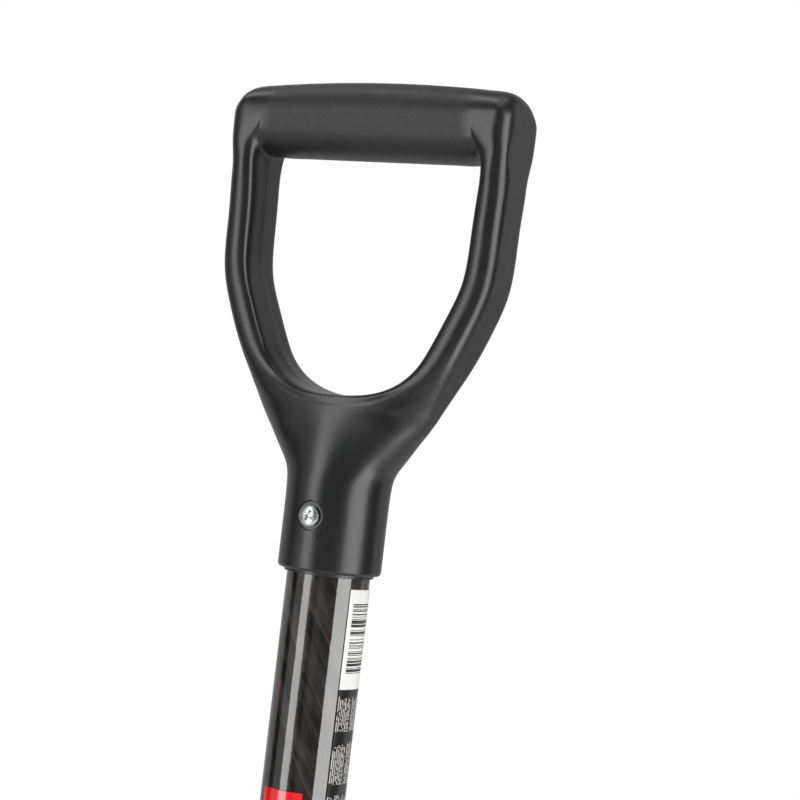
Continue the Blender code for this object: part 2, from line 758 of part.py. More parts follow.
def build_rivet(name, level, parts, tools):
    """Rivet through the socket, the shaft and its plug: a domed head and a smaller formed tail."""
    rivet = dome(name, RIVET_HEAD_RADIUS, RIVET_HEAD_HEIGHT, parts)
    rivet.location = (0.0, -SOCKET_RADIUS - GAP, level)
    rivet.rotation_euler = (math.pi / 2, 0.0, 0.0)
    tail = dome(f"{name}_tail_tool", RIVET_TAIL_RADIUS, RIVET_TAIL_HEIGHT, tools)
    tail.location = (0.0, SOCKET_RADIUS + GAP, level)
    tail.rotation_euler = (-math.pi / 2, 0.0, 0.0)
    combine(rivet, tail, "UNION")
    seat = turned(f"{name}_seat_tool", [
        (0.0, level + 2 * RIVET_HEAD_RADIUS),
        (SOCKET_RADIUS + GAP, level + 2 * RIVET_HEAD_RADIUS),
        (SOCKET_RADIUS + GAP, level - 2 * RIVET_HEAD_RADIUS),
        (0.0, level - 2 * RIVET_HEAD_RADIUS),
    ], tools)
    combine(rivet, seat)
    shank = cylinder_along_y(f"{name}_shank_tool", RIVET_SHANK_RADIUS, -SOCKET_RADIUS - 2 * GAP,
                             SOCKET_RADIUS + 2 * GAP, level, tools)
    combine(rivet, shank, "UNION")
    return rivet


def main():
    clear_scene()
    parts = new_collection("shovel")
    tools = new_collection("shovel_cutters")
    build_handle(parts, tools)
    build_sleeve(parts, tools)
    build_screw(parts, tools)
    build_shaft(parts, tools)
    build_plugs(parts, tools)
    build_label("info_label", INFO_LABEL_DROP, INFO_LABEL_LENGTH, INFO_LABEL_START, INFO_LABEL_SPAN,
                (0.80, 0.80, 0.78), parts)
    build_label("red_label", RED_LABEL_DROP, RED_LABEL_LENGTH, RED_LABEL_START, RED_LABEL_SPAN,
                (0.75, 0.01, 0.01), parts)
    steel = make_material("blade_paint", (0.022, 0.022, 0.023), 0.45, 0.0, 0.2)
    rivet_steel = make_material("rivet_steel", (0.55, 0.55, 0.56), 0.35, 1.0)
    painted = [
        build_blade(parts),
        build_socket(parts, tools),
        build_tread("foot_tread_left", -1, parts),
        build_tread("foot_tread_right", 1, parts),
    ]
    for piece in painted:
        piece.data.materials.append(steel)
    for name, level in RIVET_LEVELS.items():
        build_rivet(name, level, parts, tools).data.materials.append(rivet_steel)


main()
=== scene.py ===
"""Round point digging shovel with a moulded D-handle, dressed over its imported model.

Units are metres. +Z runs up the shaft to the D-handle, -Y is the front, +X the right of a viewer
in front. The origin is the middle of the handle's crossbar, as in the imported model.
"""
import logging
import math
from collections.abc import Callable
from dataclasses import dataclass, field
from enum import Enum
from functools import partial

import bmesh
import bpy
from bmesh.types import BMesh
from bpy.types import Material, Node, NodeSocket, NodeTree, Object
from mathutils import Matrix, Vector


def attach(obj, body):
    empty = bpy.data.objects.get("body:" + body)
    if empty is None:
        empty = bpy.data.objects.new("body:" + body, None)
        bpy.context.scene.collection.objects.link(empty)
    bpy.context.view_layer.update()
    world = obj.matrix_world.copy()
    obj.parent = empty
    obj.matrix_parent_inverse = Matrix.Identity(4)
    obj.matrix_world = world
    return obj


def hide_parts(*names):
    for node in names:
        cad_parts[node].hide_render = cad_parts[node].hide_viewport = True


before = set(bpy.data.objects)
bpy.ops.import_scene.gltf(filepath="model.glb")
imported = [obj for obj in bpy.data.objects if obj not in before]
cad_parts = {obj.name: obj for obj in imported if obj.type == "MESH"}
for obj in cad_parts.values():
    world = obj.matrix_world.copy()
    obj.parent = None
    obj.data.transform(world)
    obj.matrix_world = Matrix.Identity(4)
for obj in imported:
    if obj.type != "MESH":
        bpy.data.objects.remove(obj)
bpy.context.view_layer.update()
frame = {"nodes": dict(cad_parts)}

LOG = logging.getLogger("shovel")
MM = 0.001


class Side(Enum):
    """The two sides of the tool, as seen from the front."""

    LEFT = -1
    RIGHT = 1


class Face(Enum):
    """The two broad sides of the blade."""

    FRONT = -1
    BACK = 1


@dataclass(frozen=True)
class Layout:
    """Heights and radii that more than one sub-assembly shares, in metres."""

    gap: float = 0.0003
    shaft_radius: float = 0.018
    shaft_wall: float = 0.0025
    sleeve_wall: float = 0.0006
    handle_wall: float = 0.0032
    rim: float = -0.1947
    shaft_top: float = -0.1497
    shaft_bottom: float = -0.8807
    blade_top: float = -0.8927
    blade_point: float = -1.1827
    screw_level: float = -0.1714
    rivet_levels: tuple[float, float] = (-0.8467, -0.7967)
    socket_wall: float = 0.0018
    screw_hole: float = 0.0026
    rivet_hole: float = 0.0034
    counterbore_depth: float = 0.0012

    @property
    def bore_radius(self) -> float:
        """Radius of the hole up the handle's socket."""
        return self.shaft_radius + 2 * self.gap + self.sleeve_wall

    @property
    def handle_radius(self) -> float:
        """Outer radius of the handle's round socket."""
        return self.bore_radius + self.handle_wall

    @property
    def steel_radius(self) -> float:
        """Outer radius of the steel socket where it grips the shaft."""
        return self.shaft_radius + self.gap + self.socket_wall


LAYOUT = Layout()


# Mesh helpers


def grow(bm: BMesh, chain: list, places: list) -> list:
    """Extrude a chain of edges and move its new vertices into place.

    Args:
        bm: The mesh that is being shaped.
        chain: The vertices of an open chain of edges, in order.
        places: Where each new vertex goes.

    Returns:
        The new vertices, in the order of the chain.
    """
    edges = [bm.edges.get((first, second)) for first, second in zip(chain, chain[1:])]
    made = bmesh.ops.extrude_edge_only(bm, edges=edges)["geom"]
    fresh = {item for item in made if isinstance(item, bmesh.types.BMVert)}
    grown = []
    for vert in chain:
        ends = [edge.other_vert(vert) for edge in vert.link_edges]
        grown.append(next(end for end in ends if end in fresh))
    for vert, place in zip(grown, places):
        vert.co = place
    return grown


def chain_of(bm: BMesh, places: list) -> list:
    """A first chain of vertices joined by edges.

    Args:
        bm: The mesh that is being shaped.
        places: The chain's points, in order.

    Returns:
        The chain's vertices.
    """
    start = bmesh.ops.create_vert(bm, co=places[0])["vert"][0]
    chain = [start]
    for place in places[1:]:
        made = bmesh.ops.extrude_vert_indiv(bm, verts=[chain[-1]])["verts"][0]
        made.co = place
        chain.append(made)
    return chain


def revolve(profile: list, steps: int = 96) -> BMesh:
    """Turn a profile about the Z axis into a closed body.

    Args:
        profile: Points of (radius, height). It is closed if it starts off the axis.
        steps: How many segments the full turn has.

    Returns:
        The body, with its normals outward.
    """
    bm = bmesh.new()
    points = [Vector((radius, 0.0, height)) for radius, height in profile]
    if profile[0][0] > 0.0:
        points.append(points[0])
    chain_of(bm, points)
    bmesh.ops.spin(bm, geom=bm.verts[:] + bm.edges[:], cent=(0, 0, 0), axis=(0, 0, 1),
                   angle=math.tau, steps=steps, use_merge=True)
    return closed(bm)


def closed(bm: BMesh, distance: float = 1e-6) -> BMesh:
    """Merge double vertices and turn the faces outward.

    Args:
        bm: The mesh to close.
        distance: How near two vertices are to be merged.

    Returns:
        The same mesh.
    """
    bmesh.ops.remove_doubles(bm, verts=bm.verts[:], dist=distance)
    bmesh.ops.dissolve_degenerate(bm, edges=bm.edges[:], dist=distance / 10)
    bmesh.ops.recalc_face_normals(bm, faces=bm.faces[:])
    return bm


def object_of(name: str, bm: BMesh, sharp: float = 35.0) -> Object:
    """Make an object of a mesh, smooth but for edges sharper than an angle.

    Args:
        name: The piece's name.
        bm: Its mesh, which is freed.
        sharp: The angle in degrees above which an edge stays crisp.

    Returns:
        The object, at the origin.
    """
    mesh = bpy.data.meshes.new(name)
    bm.to_mesh(mesh)
    bm.free()
    mesh.shade_smooth()
    mesh.set_sharp_from_angle(angle=math.radians(sharp))
    obj = bpy.data.objects.new(name, mesh)
    bpy.context.scene.collection.objects.link(obj)
    return obj


def settle_modifiers(obj: Object, sharp: float = 35.0) -> None:
    """Apply every modifier of an object and mark its crisp edges anew.

    Args:
        obj: The object.
        sharp: The angle in degrees above which an edge stays crisp.
    """
    bpy.context.view_layer.update()
    evaluated = obj.evaluated_get(bpy.context.evaluated_depsgraph_get())
    mesh = bpy.data.meshes.new_from_object(evaluated)
    old = obj.data
    obj.modifiers.clear()
    obj.data = mesh
    bpy.data.meshes.remove(old)
    mesh.name = obj.name
    mesh.shade_smooth()
    mesh.set_sharp_from_angle(angle=math.radians(sharp))


def cut(obj: Object, tools: list, operation: str = "DIFFERENCE") -> None:
    """Cut tools out of an object, or join them on, and remove them.

    Args:
        obj: The object to change.
        tools: The cutters' meshes.
        operation: DIFFERENCE or UNION.
    """
    made = []
    for tool in tools:
        cutter = object_of("cutter", tool)
        boolean = obj.modifiers.new("cut", "BOOLEAN")
        boolean.operation = operation
        boolean.object = cutter
        boolean.solver = "EXACT"
        made.append(cutter)
    settle_modifiers(obj)
    for cutter in made:
        mesh = cutter.data
        bpy.data.objects.remove(cutter)
        bpy.data.meshes.remove(mesh)


def across(profile: list, height: float, steps: int = 48) -> BMesh:
    """Turn a profile about a line that runs along Y, at a height on the shaft's axis.

    Args:
        profile: Points of (radius, way to the front).
        height: Height of the line.
        steps: How many segments the full turn has.

    Returns:
        The body, its profile's second number running towards -Y.
    """
    bm = revolve(profile, steps)
    turn = Matrix.Translation((0.0, 0.0, height)) @ Matrix.Rotation(math.pi / 2, 4, "X")
    bmesh.ops.transform(bm, matrix=turn, verts=bm.verts[:])
    return bm


def rod(radius: float, front: float, back: float, level: float) -> BMesh:
    """A round rod along Y, to drill with or to join on.

    Args:
        radius: Its radius.
        front: Way of its front end from the shaft's axis, towards -Y.
        back: Way of its back end, counted the same.
        level: Its height.

    Returns:
        The closed rod.
    """
    return across([(0.0, front), (radius, front), (radius, back), (0.0, back)], level, 24)


def merged(bodies: list) -> BMesh:
    """Gather bodies in one mesh.

    Args:
        bodies: Their meshes, which are freed.

    Returns:
        The mesh with all of them.
    """
    whole = bmesh.new()
    for body in bodies:
        mesh = bpy.data.meshes.new("body")
        body.to_mesh(mesh)
        body.free()
        whole.from_mesh(mesh)
        bpy.data.meshes.remove(mesh)
    return whole


def tube_along(path: list, radii: list, sides: int = 10) -> BMesh:
    """Sweep a circle along a path, its ends closed.

    Args:
        path: The points of the path.
        radii: The tube's radius at each point.
        sides: How many sides the tube has.

    Returns:
        The closed tube.
    """
    bm = bmesh.new()
    ring = bmesh.ops.create_circle(bm, cap_ends=False, segments=sides, radius=1.0)["verts"]
    shapes = [vert.co.copy() for vert in ring]
    shapes.append(shapes[0])
    bm.free()
    bm = bmesh.new()
    rows = []
    for index, (point, radius) in enumerate(zip(path, radii)):
        ahead = path[min(index + 1, len(path) - 1)] - path[max(index - 1, 0)]
        turn = ahead.to_track_quat("Z", "Y").to_matrix()
        places = [point + turn @ (shape * radius) for shape in shapes]
        rows.append(grow(bm, rows[-1], places) if rows else chain_of(bm, places))
    for end in (rows[0], rows[-1]):
        bmesh.ops.contextual_create(bm, geom=end[:-1])
    return closed(bm)


def weld_beads(place: Callable, steps: int, radius: float, swell: float, beat: float) -> BMesh:
    """Uneven weld beads on both sides of the tool and both faces of the blade.

    Args:
        place: Gives a bead's point for a side, a face and a share of its length.
        steps: How many spaces there are between its points.
        radius: Its middling radius.
        swell: How much the radius varies.
        beat: How quickly it does, in radians a step.

    Returns:
        The four beads.
    """
    radii = [radius + swell * math.sin(step * beat) for step in range(steps + 1)]
    beads = []
    for side in Side:
        for face in Face:
            path = [place(side, face, step / steps) for step in range(steps + 1)]
            beads.append(tube_along(path, radii))
    return merged(beads)


# Node helpers


class Graph:
    """Adds nodes to one node tree, with their inputs given as values or as sockets."""

    def __init__(self, tree: NodeTree) -> None:
        """Work on a node tree.

        Args:
            tree: The tree of a material, a world or a node group.
        """
        self.tree = tree

    def feed(self, socket: NodeSocket, value: object) -> None:
        """Link a socket to another, or set its value.

        Args:
            socket: The input to feed.
            value: An output socket, a number, a vector or a colour.
        """
        if isinstance(value, NodeSocket):
            self.tree.links.new(value, socket)
        elif isinstance(value, tuple) and len(value) == 3 and socket.type == "RGBA":
            socket.default_value = (*value, 1.0)
        else:
            socket.default_value = value

    def add(self, kind: str, inputs: dict | None = None, **settings: object) -> Node:
        """Add a node.

        Args:
            kind: The node's type, without its prefix ShaderNode.
            inputs: Its inputs, by name or number.
            **settings: Its other settings.

        Returns:
            The new node.
        """
        node = self.tree.nodes.new(f"ShaderNode{kind}")
        for name, value in settings.items():
            setattr(node, name, value)
        for key, value in (inputs or {}).items():
            self.feed(node.inputs[key], value)
        return node

    def math(self, operation: str, *values: object, clamp: bool = False) -> NodeSocket:
        """Add a Math node and return its result."""
        inputs = dict(enumerate(values))
        return self.add("Math", inputs, operation=operation, use_clamp=clamp).outputs[0]

    def times(self, first: object, second: object) -> NodeSocket:
        """Multiply two values."""
        return self.math("MULTIPLY", first, second)

    def plus(self, first: object, second: object, clamp: bool = False) -> NodeSocket:
        """Add two values."""
        return self.math("ADD", first, second, clamp=clamp)

    def minus(self, first: object, second: object, clamp: bool = False) -> NodeSocket:
        """Subtract the second value from the first."""
        return self.math("SUBTRACT", first, second, clamp=clamp)

    def scaled(self, value: object, factor: object, base: object) -> NodeSocket:
        """Multiply a value by a factor and add it to a base."""
        return self.math("MULTIPLY_ADD", value, factor, base)

    def between(self, value: object, low: object, high: object) -> NodeSocket:
        """1 where a value lies between two others, and 0 elsewhere."""
        return self.times(self.math("LESS_THAN", value, high), self.math("GREATER_THAN", value, low))

    def range(self, value: object, low: float, high: float, to_low: float = 0.0,
              to_high: float = 1.0) -> NodeSocket:
        """Map a value from one range to another with soft ends.

        Args:
            value: The socket to map.
            low: Where the result is to_low.
            high: Where the result is to_high.
            to_low: The result at the low end.
            to_high: The result at the high end.

        Returns:
            The mapped value.
        """
        inputs = {"Value": value, "From Min": low, "From Max": high, "To Min": to_low, "To Max": to_high}
        return self.add("MapRange", inputs, interpolation_type="SMOOTHSTEP").outputs["Result"]

    def fade(self, value: object, low: float, high: float) -> NodeSocket:
        """Map a value softly from 1 at the low end to 0 at the high end."""
        return self.range(value, low, high, 1.0, 0.0)

    def white(self, value: object) -> NodeSocket:
        """A number from 0 to 1 that is different for each whole value."""
        return self.add("TexWhiteNoise", {"W": value}, noise_dimensions="1D").outputs["Value"]

    def noise(self, vector: object, scale: float, detail: float = 2.0, roughness: float = 0.5,
              distortion: float = 0.0) -> NodeSocket:
        """Add a Noise texture.

        Args:
            vector: Where it is looked up.
            scale: Its scale.
            detail: How many finer layers it has.
            roughness: How strong they are.
            distortion: How much it is warped.

        Returns:
            Its value.
        """
        inputs = {"Vector": vector, "Scale": scale, "Detail": detail, "Roughness": roughness,
                  "Distortion": distortion}
        return self.add("TexNoise", inputs).outputs["Fac"]

    def mix(self, factor: object, first: object, second: object) -> NodeSocket:
        """Mix two colours and return the result."""
        node = self.add("Mix", {0: factor, 6: first, 7: second}, data_type="RGBA")
        return node.outputs[2]

    def stretch(self, vector: object, scale: tuple, turn: tuple = (0.0, 0.0, 0.0)) -> NodeSocket:
        """Turn and stretch coordinates with a Mapping node."""
        return self.add("Mapping", {"Vector": vector, "Scale": scale, "Rotation": turn}).outputs[0]

    def parts(self, vector: object) -> tuple:
        """The three numbers of a vector socket."""
        outputs = self.add("SeparateXYZ", {0: vector}).outputs
        return outputs[0], outputs[1], outputs[2]

    def place(self) -> NodeSocket:
        """Object coordinates."""
        return self.add("TexCoord").outputs["Object"]

    def attribute(self, name: str) -> NodeSocket:
        """The value of a piece's own attribute."""
        return self.add("Attribute", attribute_name=name).outputs["Fac"]

    def group(self, group: NodeTree, inputs: dict) -> Node:
        """Place a node group.

        Args:
            group: The group.
            inputs: Its inputs, by name.

        Returns:
            The group's node.
        """
        node = self.tree.nodes.new("ShaderNodeGroup")
        node.node_tree = group
        for key, value in inputs.items():
            self.feed(node.inputs[key], value)
        return node


class Effects:
    """Node groups that several finishes share, each built once."""

    def __init__(self) -> None:
        """Build every group."""
        self.unwrap = self._unwrap()
        self.grain = self._grain()
        self.handling = self._handling()

    @staticmethod
    def _start(name: str, inputs: dict, outputs: dict) -> tuple:
        """Make an empty group with its sockets.

        Args:
            name: The group's name.
            inputs: Kinds of sockets by name, without their prefix NodeSocket.
            outputs: The same for its outputs.

        Returns:
            The group, its graph, its input node and its output node.
        """
        tree = bpy.data.node_groups.new(name, "ShaderNodeTree")
        for label, kind in inputs.items():
            tree.interface.new_socket(name=label, in_out="INPUT", socket_type=f"NodeSocket{kind}")
        for label, kind in outputs.items():
            tree.interface.new_socket(name=label, in_out="OUTPUT", socket_type=f"NodeSocket{kind}")
        start = tree.nodes.new("NodeGroupInput")
        end = tree.nodes.new("NodeGroupOutput")
        return tree, Graph(tree), start, end

    def _unwrap(self) -> NodeTree:
        """Group that lays the shaft's round surface flat.

        Returns:
            The group: Angle round the shaft from the front, Height, and Flat coordinates in metres.
        """
        tree, graph, start, end = self._start(
            "shaft_unwrap",
            {"Vector": "Vector", "Radius": "Float"},
            {"Angle": "Float", "Height": "Float", "Flat": "Vector"},
        )
        x, y, z = graph.parts(start.outputs["Vector"])
        angle = graph.math("ARCTAN2", x, graph.times(y, -1.0))
        arc = graph.times(angle, start.outputs["Radius"])
        flat = graph.add("CombineXYZ", {0: arc, 1: z, 2: 0.0})
        tree.links.new(angle, end.inputs["Angle"])
        tree.links.new(z, end.inputs["Height"])
        tree.links.new(flat.outputs[0], end.inputs["Flat"])
        return tree

    def _grain(self) -> NodeTree:
        """Group for the sand grain of moulded plastic and the skin of powder coat.

        Returns:
            The group: Height of the grain and its Tone, both from 0 to 1.
        """
        tree, graph, start, end = self._start(
            "fine_grain",
            {"Vector": "Vector", "Scale": "Float", "Mask": "Float"},
            {"Height": "Float", "Tone": "Float"},
        )
        vector = start.outputs["Vector"]
        scale = start.outputs["Scale"]
        coarse = graph.noise(vector, scale, 3.0, 0.6)
        fine = graph.noise(vector, graph.times(scale, 2.7), 1.0, 0.5)
        both = graph.scaled(fine, 0.45, graph.times(coarse, 0.75))
        height = graph.times(graph.range(both, 0.38, 0.82), start.outputs["Mask"])
        tree.links.new(height, end.inputs["Height"])
        tree.links.new(graph.range(both, 0.40, 0.80), end.inputs["Tone"])
        return tree

    def _handling(self) -> NodeTree:
        """Group for soft smudges and stray specks of dust.

        Returns:
            The group: Smudge and Speck masks from 0 to 1.
        """
        tree, graph, start, end = self._start(
            "light_handling",
            {"Vector": "Vector", "Smudge Scale": "Float", "Speck Scale": "Float"},
            {"Smudge": "Float", "Speck": "Float"},
        )
        vector = start.outputs["Vector"]
        smudge = graph.range(graph.noise(vector, start.outputs["Smudge Scale"], 3.0, 0.55, 0.6), 0.42, 0.68)
        speck = graph.range(graph.noise(vector, start.outputs["Speck Scale"], 1.0), 0.79, 0.86)
        tree.links.new(smudge, end.inputs["Smudge"])
        tree.links.new(speck, end.inputs["Speck"])
        return tree


class Paint(Graph):
    """The graph of one material, with its Principled shader and the shared effects at hand."""

    def __init__(self, name: str, effects: Effects) -> None:
        """Make a material.

        Args:
            name: The material's name.
            effects: The shared node groups.
        """
        self.material = bpy.data.materials.new(name)
        self.material.use_nodes = True
        super().__init__(self.material.node_tree)
        self.shader = self.tree.nodes["Principled BSDF"]
        self.effects = effects
        self.where = self.place()

    def grain(self, scale: float, mask: object = 1.0) -> tuple:
        """Add fine grain.

        Args:
            scale: Its scale per metre.
            mask: Where it has height.

        Returns:
            Its height and its tone.
        """
        inputs = {"Vector": self.where, "Scale": scale, "Mask": mask}
        outputs = self.group(self.effects.grain, inputs).outputs
        return outputs["Height"], outputs["Tone"]

    def marks(self, smudges: float, specks: float) -> tuple:
        """Add the marks of light handling.

        Args:
            smudges: Scale of the smudges per metre.
            specks: Scale of the specks per metre.

        Returns:
            The smudge mask and the speck mask.
        """
        inputs = {"Vector": self.where, "Smudge Scale": smudges, "Speck Scale": specks}
        outputs = self.group(self.effects.handling, inputs).outputs
        return outputs["Smudge"], outputs["Speck"]

    def wrap(self, radius: float) -> dict:
        """Lay a round surface of a given radius flat, its outputs returned by name."""
        return dict(self.group(self.effects.unwrap, {"Vector": self.where, "Radius": radius}).outputs.items())

    def finish(self, height: object, inputs: dict) -> Material:
        """Feed the shader.

        Args:
            height: The surface's relief in millimetres.
            inputs: The shader's other inputs, by name.

        Returns:
            The material.
        """
        relief = self.add("Bump", {"Height": height, "Distance": MM, "Strength": 1.0})
        for name, value in {**inputs, "Normal": relief.outputs["Normal"]}.items():
            self.feed(self.shader.inputs[name], value)
        return self.material


class Finish:
    """The look of a surface. Marks are the scales of its smudges and specks, reliefs are in millimetres."""

    def build(self, effects: Effects) -> Material:
        """Make the material."""
        raise NotImplementedError


@dataclass(frozen=True)
class MouldedPlastic(Finish):
    """Black moulded plastic of the D-handle, sanded on the crossbar where the hand goes."""

    color: tuple = (0.0072, 0.0074, 0.0078)
    dusty: tuple = (0.020, 0.020, 0.021)
    roughness: float = 0.27
    specular: float = 0.50
    marks: tuple = (45.0, 520.0)
    grip_half_length: float = 0.0528
    grip_end_fade: float = 0.008
    grip_radius: float = 0.0185
    grip_side_fade: float = 0.0015
    grain_per_metre: float = 1150.0
    grain_tone: float = 0.80
    grain_roughness: float = 0.06
    grain_specular: float = -0.15
    grain_relief: float = 0.062
    skin_per_metre: float = 2400.0
    skin_relief: float = 0.0035
    speck_tone: float = 0.9
    smudge_tone: float = 0.12
    smudge_roughness: float = 0.035
    crotch: float = LAYOUT.rim + 0.0755
    crotch_bend: tuple = (6.0, 3100.0)
    groove_way: float = 0.0038
    groove_half_width: float = 0.0017
    groove_depth: float = 0.24
    groove_reach: float = 0.036

    def build(self, effects: Effects) -> Material:
        """Make the material.

        Args:
            effects: The shared node groups.

        Returns:
            The material.
        """
        graph = Paint("black_moulded_plastic", effects)
        x, y, z = graph.parts(graph.where)
        flat = graph.add("CombineXYZ", {0: 0.0, 1: y, 2: z})
        reach = graph.add("VectorMath", {0: flat.outputs[0]}, operation="LENGTH").outputs["Value"]
        end = self.grip_half_length
        along = graph.fade(graph.math("ABSOLUTE", x), end - self.grip_end_fade, end)
        around = graph.fade(reach, self.grip_radius, self.grip_radius + self.grip_side_fade)
        mask = graph.times(along, around)
        grain_height, grain_tone = graph.grain(self.grain_per_metre, mask)
        skin_height, _ = graph.grain(self.skin_per_metre)
        smudge, speck = graph.marks(*self.marks)
        tone = graph.times(grain_tone, graph.times(mask, self.grain_tone))
        tone = graph.plus(tone, graph.times(speck, self.speck_tone))
        tone = graph.plus(tone, graph.times(smudge, self.smudge_tone), clamp=True)
        rough = graph.scaled(mask, self.grain_roughness, self.roughness)
        relief = graph.scaled(skin_height, self.skin_relief, graph.times(grain_height, self.grain_relief))
        return graph.finish(graph.scaled(self._groove(graph, x, z), -self.groove_depth, relief), {
            "Base Color": graph.mix(tone, self.color, self.dusty),
            "Roughness": graph.scaled(smudge, self.smudge_roughness, rough),
            "Specular IOR Level": graph.scaled(mask, self.grain_specular, self.specular),
        })

    def _groove(self, graph: Graph, x: object, z: object) -> NodeSocket:
        """Soft groove that runs beside the lowest part of the opening's edge.

        Args:
            graph: The material's graph.
            x: Way to the right of the middle.
            z: Height.

        Returns:
            A mask of the groove.
        """
        square = graph.times(x, x)
        low, high = self.crotch_bend
        rise = graph.times(square, graph.scaled(square, high, low))
        slope = graph.times(x, graph.scaled(square, 4.0 * high, 2.0 * low))
        lean = graph.math("SQRT", graph.scaled(slope, slope, 1.0))
        below = graph.minus(graph.plus(rise, self.crotch), z)
        way = graph.minus(graph.math("DIVIDE", below, lean), self.groove_way)
        groove = graph.fade(graph.math("ABSOLUTE", way), 0.0, self.groove_half_width)
        ends = graph.fade(graph.math("ABSOLUTE", x), self.groove_reach / 2, self.groove_reach)
        return graph.times(groove, ends)


@dataclass(frozen=True)
class WoundComposite(Finish):
    """Dark brown-black tape wound round the shaft, under a clear gloss coat."""

    dark: tuple = (0.0040, 0.0032, 0.0028)
    light: tuple = (0.0390, 0.0302, 0.0250)
    thread: tuple = (0.072, 0.063, 0.057)
    dust: tuple = (0.18, 0.17, 0.16)
    gloss_ior: float = 1.86
    roughness: float = 0.055
    smudge_roughness: float = 0.02
    marks: tuple = (30.0, 640.0)
    pitch: float = 0.0066
    lean: float = math.radians(-59.0)
    wobble: float = 0.0040
    wobble_per_metre: float = 38.0
    streak_scale: tuple = (60.0, 1500.0, 1.0)
    blotch_scale: tuple = (40.0, 190.0, 1.0)
    hair_scale: tuple = (26.0, 2600.0, 1.0)
    wave_scale: tuple = (170.0, 75.0, 1.0)
    lane_share: float = 0.50
    streak_share: float = 0.26
    blotch_share: float = 0.30
    edge_share: float = 0.28
    edge_width: float = 0.10
    line_share: float = 0.55
    thread_share: float = 0.75
    dust_share: float = 0.8
    wave_relief: float = 0.030
    edge_relief: float = 0.004

    def build(self, effects: Effects) -> Material:
        """Make the material.

        Args:
            effects: The shared node groups.

        Returns:
            The material.
        """
        graph = Paint("wound_composite", effects)
        wrap = graph.wrap(LAYOUT.shaft_radius)
        flat = graph.stretch(wrap["Flat"], (1.0, 1.0, 1.0), (0.0, 0.0, -self.lean))
        wobble = graph.times(graph.minus(graph.noise(flat, self.wobble_per_metre), 0.5), self.wobble)
        lane = graph.math("DIVIDE", graph.plus(graph.parts(flat)[1], wobble), self.pitch)
        step = graph.math("FRACT", lane)
        edge = graph.fade(step, 0.0, self.edge_width)
        streak = graph.noise(graph.stretch(flat, self.streak_scale), 1.0, 4.0, 0.65)
        streak = graph.times(graph.range(streak, 0.36, 0.70), self.streak_share)
        body = graph.scaled(graph.white(graph.math("FLOOR", lane)), self.lane_share, streak)
        blotch = graph.noise(graph.stretch(flat, self.blotch_scale), 1.0)
        body = graph.scaled(graph.range(blotch, 0.44, 0.58), self.blotch_share, body)
        body = graph.minus(body, graph.times(edge, self.edge_share), clamp=True)
        color = graph.mix(graph.range(body, 0.17, 0.92), self.dark, self.light)
        hair = graph.noise(graph.stretch(flat, self.hair_scale), 1.0, 1.0, 0.4)
        line = graph.times(graph.fade(step, 0.10, 0.135), graph.range(step, 0.06, 0.09))
        thread = graph.math("MAXIMUM", graph.range(hair, 0.70, 0.76), graph.times(line, self.line_share))
        color = graph.mix(graph.times(thread, self.thread_share), color, self.thread)
        smudge, speck = graph.marks(*self.marks)
        waves = graph.noise(graph.stretch(wrap["Flat"], self.wave_scale), 1.0)
        return graph.finish(graph.scaled(waves, self.wave_relief, graph.times(edge, self.edge_relief)), {
            "Base Color": graph.mix(graph.times(speck, self.dust_share), color, self.dust),
            "IOR": self.gloss_ior,
            "Roughness": graph.scaled(smudge, self.smudge_roughness, self.roughness),
        })


@dataclass(frozen=True)
class SleevePlastic(Finish):
    """Thin black plastic of the sleeve under the handle's rim."""

    color: tuple = (0.010, 0.010, 0.0105)
    pale: tuple = (0.016, 0.016, 0.017)
    roughness: float = 0.48
    skin_per_metre: float = 1800.0
    skin_roughness: float = 0.08
    skin_relief: float = 0.012

    def build(self, effects: Effects) -> Material:
        """Make the material.

        Args:
            effects: The shared node groups.

        Returns:
            The material.
        """
        graph = Paint("sleeve_plastic", effects)
        height, tone = graph.grain(self.skin_per_metre)
        return graph.finish(graph.times(height, self.skin_relief), {
            "Base Color": graph.mix(tone, self.color, self.pale),
            "Roughness": graph.scaled(tone, self.skin_roughness, self.roughness),
        })


@dataclass(frozen=True)
class PlatedSteel(Finish):
    """Steel with a bright plating, its crystals catching the light unevenly."""

    name: str = "bright_zinc"
    color: tuple = (0.60, 0.61, 0.63)
    shade: tuple = (0.26, 0.265, 0.275)
    roughness: float = 0.13
    crystals: float = 1500.0
    relief: float = 0.085
    marks: tuple = (380.0, 3000.0)
    crystal_tone: float = 0.55
    crystal_roughness: float = 0.14
    smudge_roughness: float = 0.08

    def build(self, effects: Effects) -> Material:
        """Make the material.

        Args:
            effects: The shared node groups.

        Returns:
            The material.
        """
        graph = Paint(self.name, effects)
        cells = graph.add("TexVoronoi", {"Vector": graph.where, "Scale": self.crystals})
        tone = graph.parts(cells.outputs["Color"])[0]
        smudge, _ = graph.marks(*self.marks)
        rough = graph.scaled(tone, self.crystal_roughness, self.roughness)
        return graph.finish(graph.times(tone, self.relief), {
            "Metallic": 1.0,
            "Base Color": graph.mix(graph.times(tone, self.crystal_tone), self.color, self.shade),
            "Roughness": graph.scaled(smudge, self.smudge_roughness, rough),
        })


